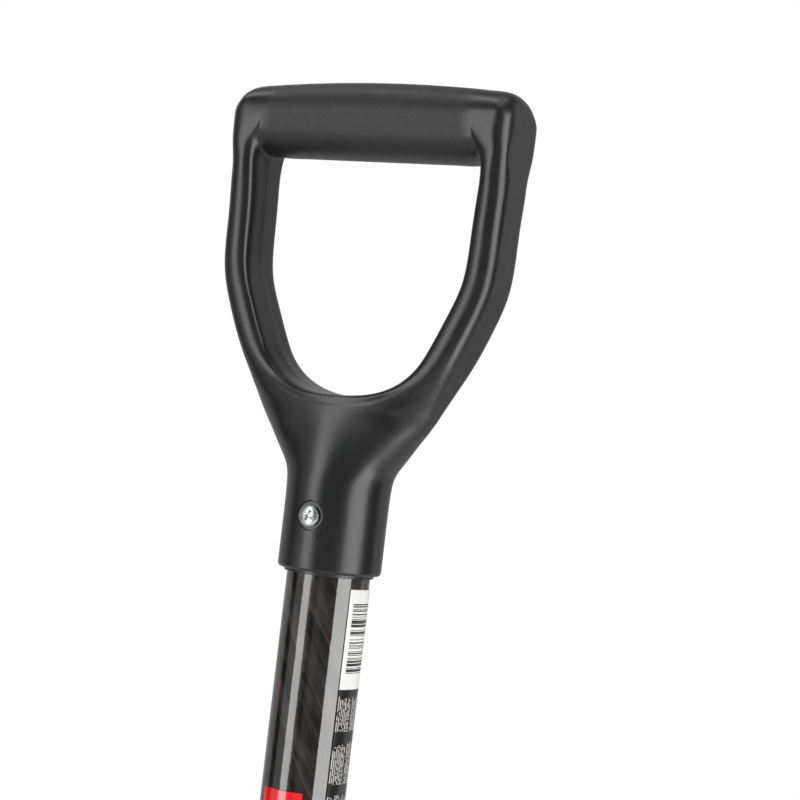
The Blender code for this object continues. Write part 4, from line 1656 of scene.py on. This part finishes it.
@dataclass
class Shaft(Assembly):
    """The hollow shaft, its two wooden plugs and the two films on it."""

    end_round: float = 0.0005
    film_thickness: float = 0.0002
    info_top: float = LAYOUT.rim - 0.0060
    info_length: float = 0.110
    info_start: float = math.radians(63.5)
    info_span: float = math.radians(60.0)
    red_top: float = LAYOUT.rim - 0.0934
    red_length: float = 0.200
    red_start: float = math.radians(-31.5)
    red_span: float = math.radians(61.5)

    def tube(self, material: Material) -> Object:
        """Build the shaft, drilled for the screw and the rivets.

        Args:
            material: Its finish.

        Returns:
            The piece.
        """
        outer, soft = LAYOUT.shaft_radius, self.end_round
        inner = outer - LAYOUT.shaft_wall
        top, bottom = LAYOUT.shaft_top, LAYOUT.shaft_bottom
        piece = object_of("composite_shaft", revolve([
            (outer - soft, top), (outer, top - soft), (outer, bottom + soft), (outer - soft, bottom),
            (inner + soft, bottom), (inner, bottom + soft), (inner, top - soft), (inner + soft, top),
        ], 160))
        screw_drill = rod(LAYOUT.screw_hole, front=0.03, back=0.0, level=LAYOUT.screw_level)
        drills = [rod(LAYOUT.rivet_hole, front=0.03, back=-0.03, level=level)
                  for level in LAYOUT.rivet_levels]
        cut(piece, [screw_drill] + drills)
        return self.settle(piece, material, "shaft_composite", "shaft_tube")

    def film(self, name: str, top: float, length: float, start: float, span: float) -> Object:
        """Build a thin film that lies on the shaft.

        Args:
            name: The piece's name.
            top: Height of its top edge.
            length: Its length down the shaft.
            start: Angle of its left edge, from the front towards +X.
            span: How far round it reaches.

        Returns:
            The film.
        """
        inner = LAYOUT.shaft_radius + LAYOUT.gap
        outer = inner + self.film_thickness
        bm = bmesh.new()
        turn = Matrix.Rotation(start, 3, "Z")
        corners = [(inner, top), (outer, top), (outer, top - length), (inner, top - length)]
        places = [turn @ Vector((0.0, -radius, height)) for radius, height in corners]
        chain = chain_of(bm, places + places[:1])
        bmesh.ops.remove_doubles(bm, verts=chain, dist=1e-7)
        face = bmesh.ops.contextual_create(bm, geom=bm.verts[:])["faces"]
        bmesh.ops.spin(bm, geom=face, cent=(0, 0, 0), axis=(0, 0, 1), angle=span, steps=40)
        return object_of(name, closed(bm, 1e-7))

    def build(self, composite: Material, info: Material, red: Material) -> list:
        """Build and dress the shaft and its films.

        Args:
            composite: The shaft's finish.
            info: The information film's finish.
            red: The red film's finish.

        Returns:
            The pieces.
        """
        info_film = self.film("information_film", self.info_top, self.info_length, self.info_start,
                              self.info_span)
        red_film = self.film("red_film", self.red_top, self.red_length, self.red_start, self.red_span)
        return [
            self.tube(composite),
            self.settle(info_film, info, "info_label_film", "info_label"),
            self.settle(red_film, red, "red_label_film", "red_label"),
        ]

    def plugs(self, nodes: dict, wood: Material) -> None:
        """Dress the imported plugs.

        Args:
            nodes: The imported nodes.
            wood: Their finish.
        """
        for name in ("shaft_top_plug", "shaft_bottom_plug"):
            mesh = nodes[name].data
            mesh.materials.clear()
            mesh.materials.append(wood)


@dataclass
class Blade(Assembly):
    """The pressed blade with its foot treads."""

    length: float = 0.290
    width: float = 0.214
    top_width: float = 0.206
    shoulder: float = 0.155
    thickness: float = 0.0020
    dish: float = 0.026
    bow: float = 0.006
    set_back: float = 0.002
    tip_width: float = 0.020
    ground: float = 0.0032
    ground_loss: float = 0.55
    rubbed_reach: float = 1.35
    row_power: float = 1.3
    weld_inset: float = 0.002
    tread_round: float = 0.0009
    tread_depth: float = 0.018
    tread_thickness: float = 0.0028
    tread_overhang: float = 0.002
    tread_inset: float = 0.003
    tread_clearance: float = 0.003

    def half_width(self, height: float) -> float:
        """Half the blade's width.

        Args:
            height: The height above its point.

        Returns:
            Half the width there.
        """
        tip, shoulder, top = self.tip_width / 2, self.width / 2, self.top_width / 2
        if height < self.shoulder:
            share = max(height, 0.0) / self.shoulder
            return tip + (shoulder - tip) * math.sin(math.pi / 2 * share**0.78)
        share = (height - self.shoulder) / (self.length - self.shoulder)
        return shoulder + (top - shoulder) * share**2

    def depth(self, x: float, height: float) -> float:
        """Y of the blade's middle surface, hollow towards the front."""
        bow = self.bow * math.sin(math.pi * height / self.length)
        return bow + self.set_back * height / self.length - self.dish * (x / (self.width / 2)) ** 2

    def surface(self, columns: int = 56, rows: int = 72) -> BMesh:
        """The blade's middle surface, its outermost cells as wide as the ground edge.

        Args:
            columns: Cells across it.
            rows: Cells up it.

        Returns:
            The open surface.
        """
        bm = bmesh.new()
        bmesh.ops.create_grid(bm, x_segments=columns, y_segments=rows, size=1.0)
        inner = 1.0 - 2.0 / columns
        for vert in bm.verts:
            u, v = vert.co.x, (vert.co.y + 1.0) / 2.0
            height = self.length * v**self.row_power
            half = self.half_width(height)
            edge_share = 1.0 - self.ground / half
            if abs(u) > inner:
                share = edge_share + (abs(u) - inner) / (1.0 - inner) * (1.0 - edge_share)
            else:
                share = abs(u) / inner * edge_share
            x = math.copysign(share * half, u)
            vert.co = (x, self.depth(x, height), height)
        bmesh.ops.recalc_face_normals(bm, faces=bm.faces[:])
        return bm

    def outline(self) -> list:
        """Edge of the blade's right half.

        Returns:
            Its points, from the blade's point up.
        """
        points = [Vector((self.tip_width / 2 * step / 4, 0.0)) for step in range(5)]
        heights = [self.length * (step / 120) ** self.row_power for step in range(121)]
        return points + [Vector((self.half_width(height), height)) for height in heights]

    def plate(self, material: Material) -> Object:
        """Build the blade, ground thin along its cutting edge.

        Args:
            material: Its finish.

        Returns:
            The piece.
        """
        piece = object_of("pressed_blade", self.surface())
        solid = piece.modifiers.new("plate", "SOLIDIFY")
        solid.thickness = self.thickness
        solid.offset = 0.0
        bevel = piece.modifiers.new("edges", "BEVEL")
        bevel.width = 0.0004
        bevel.segments = 2
        bevel.limit_method = "ANGLE"
        bevel.angle_limit = math.radians(50)
        settle_modifiers(piece)
        outline = self.outline()
        layer = piece.data.attributes.new("edge", "FLOAT", "POINT")
        for index, vert in enumerate(piece.data.vertices):
            x, height = abs(vert.co.x), vert.co.z
            near = 1.0
            if height < self.shoulder + 0.02 and (x > 0.6 * self.half_width(height) or height < 0.02):
                near = min((Vector((x, height)) - point).length for point in outline)
            fade = min(max((self.shoulder + 0.01 - height) / 0.05, 0.0), 1.0)
            layer.data[index].value = max(1.0 - near / (self.rubbed_reach * self.ground), 0.0) * fade
            if near < self.ground:
                middle = self.depth(vert.co.x, height)
                share = 1.0 - self.ground_loss * (1.0 - near / self.ground) * fade
                vert.co.y = middle + (vert.co.y - middle) * share
        piece.data.transform(Matrix.Translation((0.0, 0.0, LAYOUT.blade_point)))
        return self.settle(piece, material, "blade_paint", "blade")

    def tread(self, side: Side, material: Material) -> Object:
        """Build a flat foot tread along one half of the blade's top edge.

        Args:
            side: Which half.
            material: Its finish.

        Returns:
            The piece.
        """
        inner = LAYOUT.steel_radius + self.tread_clearance
        outer = self.top_width / 2 - self.tread_inset
        bm = bmesh.new()
        bmesh.ops.create_grid(bm, x_segments=30, y_segments=1, size=1.0)
        for vert in bm.verts:
            x = inner + (outer - inner) * (vert.co.x + 1.0) / 2.0
            front = self.depth(x, self.length) - self.thickness / 2 - self.tread_overhang
            y = front + (self.tread_depth if vert.co.y > 0 else 0.0)
            vert.co = (side.value * x, y, LAYOUT.blade_top + LAYOUT.gap)
        raised = bmesh.ops.extrude_face_region(bm, geom=bm.faces[:])["geom"]
        verts = [item for item in raised if isinstance(item, bmesh.types.BMVert)]
        bmesh.ops.translate(bm, verts=verts, vec=(0.0, 0.0, self.tread_thickness))
        closed(bm)
        crisp = [edge for edge in bm.edges if edge.is_manifold and edge.calc_face_angle() > math.radians(50)]
        bmesh.ops.bevel(bm, geom=crisp, affect="EDGES", offset=self.tread_round, segments=4,
                        profile=0.5, material=-1)
        piece = object_of(f"tread_{side.name.lower()}", closed(bm))
        return self.settle(piece, material, "blade_paint", f"foot_tread_{side.name.lower()}")

    def weld_point(self, side: Side, face: Face, share: float) -> Vector:
        """A point of the bead between a tread and the blade.

        Args:
            side: Which half of the blade.
            face: Which of its faces.
            share: How far out along the tread.

        Returns:
            The point.
        """
        inner = LAYOUT.steel_radius + self.tread_clearance + self.weld_inset
        outer = self.top_width / 2 - self.tread_inset - self.weld_inset
        x = inner + (outer - inner) * share
        y = self.depth(x, self.length) + face.value * (self.thickness / 2 + 0.0001)
        return Vector((side.value * x, y, LAYOUT.blade_top - 0.0002))

    def tread_welds(self, material: Material) -> Object:
        """Build the weld beads under the treads, where they meet the blade.

        Args:
            material: Their finish.

        Returns:
            The piece.
        """
        beads = weld_beads(self.weld_point, steps=90, radius=0.00085, swell=0.00016, beat=2.1)
        return self.settle(object_of("tread_weld_beads", beads), material, "blade_paint")


@dataclass
class SteelSocket(Assembly):
    """The tapered steel socket, welded over the blade and riveted to the shaft."""

    grip: float = 0.118
    bead: float = 0.0013
    seat: float = 0.0015
    nose_below_edge: float = 0.098
    nose_radius: float = 0.006
    head_radius: float = 0.0058
    head_height: float = 0.0024
    tail_radius: float = 0.0050
    tail_height: float = 0.0020
    shank_radius: float = 0.0030
    taper_rows: int = 26
    taper_power: float = 0.9
    narrowest: float = 0.0036
    weld_inset: float = 0.001

    @property
    def nose(self) -> float:
        """Height of the taper's lower end."""
        return LAYOUT.blade_top - self.nose_below_edge

    def outer_radius(self, height: float) -> float:
        """Outside radius: straight round the shaft, then a long taper.

        Args:
            height: The height.

        Returns:
            The radius there.
        """
        start = LAYOUT.shaft_bottom - self.seat
        if height >= start:
            return LAYOUT.steel_radius
        share = (start - height) / (start - self.nose)
        spread = LAYOUT.steel_radius - self.nose_radius
        return self.nose_radius + spread * math.cos(math.pi / 2 * share) ** self.taper_power

    def shell(self, blade: Blade, material: Material) -> Object:
        """Build the socket, slotted over the blade.

        Args:
            blade: The blade that its lower end straddles.
            material: Its finish.

        Returns:
            The piece.
        """
        bore = LAYOUT.shaft_radius + LAYOUT.gap
        ledge = bore - LAYOUT.shaft_wall
        seat = LAYOUT.shaft_bottom - LAYOUT.gap
        start = seat - self.seat
        rows = self.taper_rows
        taper = [start - (start - self.nose) * step / rows for step in range(rows + 1)]
        mouth = LAYOUT.shaft_bottom + self.grip
        steel, bead = LAYOUT.steel_radius, self.bead
        inside = [(ledge, start)]
        inside += [(max(self.outer_radius(z) - LAYOUT.socket_wall, self.narrowest), z) for z in taper[1:-4]]
        profile = [(0.0, inside[-1][1])] + list(reversed(inside))
        profile += [(ledge, seat), (bore, seat), (bore, mouth - 0.0004), (bore + 0.0004, mouth)]
        profile += [(steel + 0.3 * bead, mouth), (steel + 0.75 * bead, mouth - 0.3 * bead)]
        for step in range(1, 6):
            out = 0.75 + 0.25 * math.sin(math.pi * step / 6)
            profile.append((steel + bead * out, mouth - bead * (0.3 + 2.4 * step / 6)))
        profile += [(steel + 0.55 * bead, mouth - 3.0 * bead), (steel, mouth - 4.0 * bead)]
        profile += [(self.outer_radius(z), z) for z in taper[:-1]]
        for degree in (20.0, 45.0, 70.0, 90.0):
            angle = math.radians(degree)
            height = self.nose - 0.5 * self.nose_radius * math.sin(angle)
            profile.append((self.nose_radius * math.cos(angle), height))
        piece = object_of("steel_socket", revolve(profile, 96))
        slot = object_of("slot", blade.surface(28, 36))
        slot.data.transform(Matrix.Translation((0.0, 0.0, LAYOUT.blade_point + LAYOUT.gap)))
        solid = slot.modifiers.new("plate", "SOLIDIFY")
        solid.thickness = blade.thickness + 2 * LAYOUT.gap
        solid.offset = 0.0
        settle_modifiers(slot)
        tool = bmesh.new()
        tool.from_mesh(slot.data)
        bpy.data.objects.remove(slot)
        drills = [rod(LAYOUT.rivet_hole, front=0.04, back=-0.04, level=level)
                  for level in LAYOUT.rivet_levels]
        cut(piece, [tool] + drills)
        return self.settle(piece, material, "blade_paint", "blade_socket")

    def weld_point(self, blade: Blade, side: Side, face: Face, share: float) -> Vector:
        """A point of the bead where the taper meets a face of the blade.

        Args:
            blade: The blade.
            side: Which side of the socket.
            face: Which face of the blade.
            share: How far up the bead.

        Returns:
            The point.
        """
        low, high = self.nose + self.weld_inset, LAYOUT.blade_top - self.weld_inset
        z = low + (high - low) * share
        x = self.outer_radius(z)
        for _ in range(4):
            y = blade.depth(x, z - LAYOUT.blade_point) + face.value * blade.thickness / 2
            x = math.sqrt(max(self.outer_radius(z) ** 2 - y**2, 1e-6))
        return Vector((side.value * (x + 0.0002), y + face.value * 0.0002, z))

    def welds(self, blade: Blade, material: Material) -> Object:
        """Build the weld beads along the line where the taper meets the blade.

        Args:
            blade: The blade.
            material: Their finish.

        Returns:
            The piece.
        """
        beads = weld_beads(partial(self.weld_point, blade), steps=120, radius=0.00115, swell=0.00018,
                           beat=2.3)
        return self.settle(object_of("socket_weld_beads", beads), material, "blade_paint")

    def dome(self, radius: float, height: float, level: float) -> BMesh:
        """A domed head in front of the socket, its skirt reaching into the wall.

        Args:
            radius: Its radius.
            height: How far it stands out.
            level: The height of its middle.

        Returns:
            The closed dome.
        """
        base = LAYOUT.steel_radius + LAYOUT.gap
        points = [(0.0, base + height)]
        for degree in (12, 24, 36, 48, 60, 72, 82):
            angle = math.radians(degree)
            points.append((radius * math.sin(angle), base + height * math.cos(angle)))
        points += [(radius, base), (radius, base - 0.5 * radius), (0.0, base - 0.5 * radius)]
        return across(points, level, 40)

    def rivet(self, name: str, level: float, material: Material) -> Object:
        """Build a rivet: a domed head in front, a smaller formed tail behind.

        Args:
            name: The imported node's name.
            level: Its height.
            material: Its finish.

        Returns:
            The piece.
        """
        base = LAYOUT.steel_radius + LAYOUT.gap
        low, high = level - 0.012, level + 0.012
        head = self.dome(self.head_radius, self.head_height, level)
        tail = self.dome(self.tail_radius, self.tail_height, 0.0)
        turn = Matrix.Translation((0.0, 0.0, level)) @ Matrix.Rotation(math.pi, 4, "Z")
        bmesh.ops.transform(tail, matrix=turn, verts=tail.verts[:])
        piece = object_of(f"{name}_steel", merged([head, tail]))
        cut(piece, [revolve([(0.0, high), (base, high), (base, low), (0.0, low)], 96)])
        reach = base + 0.0004
        cut(piece, [rod(self.shank_radius, front=reach, back=-reach, level=level)], "UNION")
        return self.settle(piece, material, "rivet_steel", name)


@dataclass
class Studio:
    """A pale floor, white surroundings, soft lamps beside and above the tool, and the camera."""

    camera_place: tuple = (0.4306, -0.7490, -0.1348)
    camera_turn: float = 0.4966
    camera_rise: float = 0.0193
    camera_roll: float = 0.1175
    focal_pixels: float = 1999.4
    photo_width: int = 800
    sensor: float = 36.0
    floor_level: float = LAYOUT.blade_point - 0.002
    floor_radius: float = 2.4
    sheen_panel: tuple = (1.2, 2.24, -0.04)
    soft_panel: tuple = (3.0, 3.15, 0.42)
    left_lamp: tuple = (-26.0, 11.0)
    right_lamp: tuple = (77.0, 19.5)
    soft_strength: float = 4.3
    sheen_strengths: tuple = (3.45, 4.35)
    fill_size: float = 2.6
    fill_height: float = 2.0
    fill_strength: float = 2.2
    streak_lamp: tuple = (-0.5, 0.03, 0.864)
    streak_size: tuple = (0.60, 0.11)
    streak_strength: float = 7.0
    ambient: float = 0.30
    overhead: float = 1.1

    def camera(self) -> None:
        """Make the camera at the photograph's angle."""
        a, p, r = self.camera_turn, self.camera_rise, self.camera_roll
        look = Vector((-math.sin(a) * math.cos(p), math.cos(a) * math.cos(p), math.sin(p)))
        right = look.cross(Vector((0.0, 0.0, 1.0))).normalized()
        up = right.cross(look)
        x_axis = math.cos(r) * right + math.sin(r) * up
        y_axis = -math.sin(r) * right + math.cos(r) * up
        matrix = Matrix((x_axis, y_axis, -look)).transposed().to_4x4()
        matrix.translation = Vector(self.camera_place)
        data = bpy.data.cameras.new("camera")
        data.sensor_width = self.sensor
        data.sensor_fit = "HORIZONTAL"
        data.lens = self.focal_pixels / self.photo_width * self.sensor
        data.clip_start = 0.05
        data.clip_end = 30.0
        camera = bpy.data.objects.new("camera", data)
        camera.matrix_world = matrix
        bpy.context.scene.collection.objects.link(camera)
        bpy.context.scene.camera = camera

    def area(self, name: str, size: tuple, strength: float) -> Object:
        """Make a soft lamp that the camera doesn't see.

        Args:
            name: The lamp's name.
            size: Its width and height.
            strength: Its radiance.

        Returns:
            The lamp, at the origin.
        """
        data = bpy.data.lights.new(name, "AREA")
        data.shape = "RECTANGLE"
        data.size, data.size_y = size
        data.energy = strength * math.pi * size[0] * size[1]
        lamp = bpy.data.objects.new(name, data)
        lamp.visible_camera = False
        bpy.context.scene.collection.objects.link(lamp)
        return lamp

    def lamp(self, name: str, azimuth: float, half_angle: float, strength: float, sheen: bool) -> None:
        """Make a tall soft lamp that faces the shaft.

        Args:
            name: The lamp's name.
            azimuth: Its direction in degrees from the front towards +X.
            half_angle: Half the angle that it fills, in degrees.
            strength: Its radiance.
            sheen: Whether it only shows as a reflection, or else only lights surfaces.
        """
        angle = math.radians(azimuth)
        distance, height, level = self.sheen_panel if sheen else self.soft_panel
        width = 2 * distance * math.tan(math.radians(half_angle))
        lamp = self.area(name, (width, height), strength)
        away = Vector((math.sin(angle), -math.cos(angle), 0.0))
        lamp.matrix_world = away.to_track_quat("Z", "Y").to_matrix().to_4x4()
        lamp.location = away * distance + Vector((0.0, 0.0, level))
        lamp.visible_diffuse = not sheen
        lamp.visible_glossy = sheen

    def streak(self) -> None:
        """Make the narrow lamp overhead that only shows as a streak along the crossbar."""
        lamp = self.area("streak_lamp", self.streak_size, self.streak_strength)
        away = Vector(self.streak_lamp).normalized()
        side = (Vector((1.0, 0.0, 0.0)) - away * away.x).normalized()
        lamp.matrix_world = Matrix((side, away.cross(side), away)).transposed().to_4x4()
        lamp.location = away * self.sheen_panel[0]
        lamp.visible_diffuse = False

    def fill(self) -> None:
        """Make the wide lamp overhead that lights the floor and the upper sides."""
        lamp = self.area("fill_lamp", (self.fill_size, self.fill_size), self.fill_strength)
        lamp.location = (0.0, 0.0, self.fill_height)
        lamp.visible_glossy = False

    def surroundings(self) -> None:
        """Make the world: white behind for the camera and in reflections, plain soft light elsewhere."""
        world = bpy.data.worlds.new("studio")
        bpy.context.scene.world = world
        world.use_nodes = True
        tree = world.node_tree
        tree.nodes.clear()
        graph = Graph(tree)
        direction = graph.add("TexCoord").outputs["Generated"]
        x, y, z = graph.parts(direction)
        turn = graph.math("ARCTAN2", x, graph.times(y, -1.0))
        turn = graph.math("DIVIDE", graph.plus(turn, math.pi), math.tau)
        ramp = graph.add("ValToRGB", {"Fac": turn})
        self.paint(ramp.color_ramp)
        height = graph.range(graph.math("ABSOLUTE", z), 0.50, 0.82, 1.0, 0.30)
        seen = graph.times(ramp.outputs["Color"], height)
        seen = graph.plus(seen, graph.range(z, 0.88, 0.96, 0.0, self.overhead))
        path = graph.add("LightPath").outputs
        plain = graph.math("MAXIMUM", path["Is Camera Ray"], path["Is Transmission Ray"])
        strength = graph.add("Mix", {0: path["Is Glossy Ray"], 2: self.ambient, 3: seen},
                             data_type="FLOAT")
        level = graph.add("Mix", {0: plain, 2: strength.outputs[0], 3: 1.0}, data_type="FLOAT")
        back = graph.add("Background", {"Color": (1.0, 1.0, 1.0), "Strength": level.outputs[0]})
        output = graph.add("OutputWorld")
        tree.links.new(back.outputs[0], output.inputs["Surface"])

    def paint(self, ramp: bpy.types.ColorRamp) -> None:
        """Set how bright the surroundings look in a glossy surface, by direction.

        Args:
            ramp: The ramp, from -180 to 180 degrees about the front.
        """
        stops = (
            (-180.0, 0.42), (-118.0, 0.55), (-108.0, 0.50), (-86.0, 0.50), (-81.0, 0.06), (-67.0, 0.06),
            (-61.0, 0.50), (-36.0, 0.60), (-10.0, 0.30), (-6.0, 0.10), (2.0, 0.12), (9.0, 0.30),
            (23.0, 0.26), (29.0, 0.17), (55.0, 0.17), (96.0, 0.20), (104.0, 0.06), (132.0, 0.08),
            (140.0, 0.72), (149.0, 0.72), (156.0, 0.36), (180.0, 0.42),
        )
        while len(ramp.elements) < len(stops):
            ramp.elements.new(0.5)
        for element, (azimuth, value) in zip(ramp.elements, stops):
            element.position = (azimuth + 180.0) / 360.0
            element.color = (value, value, value, 1.0)

    def floor(self) -> None:
        """Make the floor: a pale disc that fades into the white surroundings."""
        bm = bmesh.new()
        bmesh.ops.create_circle(bm, cap_ends=True, segments=96, radius=self.floor_radius)
        bmesh.ops.translate(bm, verts=bm.verts[:], vec=(0.0, 0.0, self.floor_level))
        disc = object_of("floor", bm)
        material = bpy.data.materials.new("pale_floor")
        material.use_nodes = True
        tree = material.node_tree
        graph = Graph(tree)
        shader = tree.nodes["Principled BSDF"]
        shader.inputs["Base Color"].default_value = (0.80, 0.80, 0.80, 1.0)
        shader.inputs["Roughness"].default_value = 0.8
        shader.inputs["Specular IOR Level"].default_value = 0.0
        x, y, _ = graph.parts(graph.place())
        reach = graph.math("SQRT", graph.plus(graph.times(x, x), graph.times(y, y)))
        fade = graph.range(reach, 0.5 * self.floor_radius, 0.97 * self.floor_radius)
        seen = graph.times(fade, graph.add("LightPath").outputs["Is Camera Ray"])
        glow = graph.add("Emission", {"Color": (1.0, 1.0, 1.0), "Strength": 1.0})
        mix = graph.add("MixShader", {0: seen, 1: shader.outputs[0], 2: glow.outputs[0]})
        tree.links.new(mix.outputs[0], tree.nodes["Material Output"].inputs["Surface"])
        disc.data.materials.append(material)

    def build(self) -> None:
        """Set up the whole studio."""
        self.camera()
        self.surroundings()
        self.floor()
        lamps = {"left": self.left_lamp, "right": self.right_lamp}
        for (name, (azimuth, half)), sheen in zip(lamps.items(), self.sheen_strengths):
            self.lamp(f"{name}_lamp", azimuth, half, self.soft_strength, sheen=False)
            self.lamp(f"{name}_lamp_sheen", azimuth, half, sheen, sheen=True)
        self.streak()
        self.fill()
        bpy.context.scene.view_settings.view_transform = "Standard"


@dataclass
class Shovel:
    """The whole tool, built part by part."""

    handle: DHandle = field(default_factory=DHandle)
    fixing: HandleFixing = field(default_factory=HandleFixing)
    shaft: Shaft = field(default_factory=Shaft)
    blade: Blade = field(default_factory=Blade)
    socket: SteelSocket = field(default_factory=SteelSocket)

    def build(self, effects: Effects) -> list:
        """Build and dress every piece.

        Args:
            effects: The shared node groups.

        Returns:
            The pieces.
        """
        zinc = PlatedSteel().build(effects)
        rivet_steel = PlatedSteel(name="rivet_steel", color=(0.50, 0.50, 0.505), shade=(0.30, 0.30, 0.305),
                                  roughness=0.30, crystals=900.0, relief=0.012)
        rivets = rivet_steel.build(effects)
        coat = PowderCoat().build(effects)
        pieces = [
            self.handle.build(MouldedPlastic().build(effects)),
            self.fixing.sleeve(SleevePlastic().build(effects)),
            self.fixing.screw(zinc),
        ]
        pieces += self.shaft.build(*[look().build(effects) for look in (WoundComposite, InfoFilm, RedFilm)])
        self.shaft.plugs(frame["nodes"], PlugWood().build(effects))
        pieces.append(self.blade.plate(coat))
        pieces += [self.blade.tread(side, coat) for side in Side]
        pieces.append(self.blade.tread_welds(coat))
        pieces.append(self.socket.shell(self.blade, coat))
        pieces.append(self.socket.welds(self.blade, coat))
        for name, level in zip(("socket_rivet_lower", "socket_rivet_upper"), LAYOUT.rivet_levels):
            pieces.append(self.socket.rivet(name, level, rivets))
        return pieces


def main() -> None:
    """Build the studio and the shovel, and report each piece."""
    logging.basicConfig(level=logging.INFO, format="%(name)s: %(message)s")
    Studio().build()
    for piece in Shovel().build(Effects()):
        LOG.info("%s: %d faces", piece.name, len(piece.data.polygons))


if __name__ == "__main__":
    main()
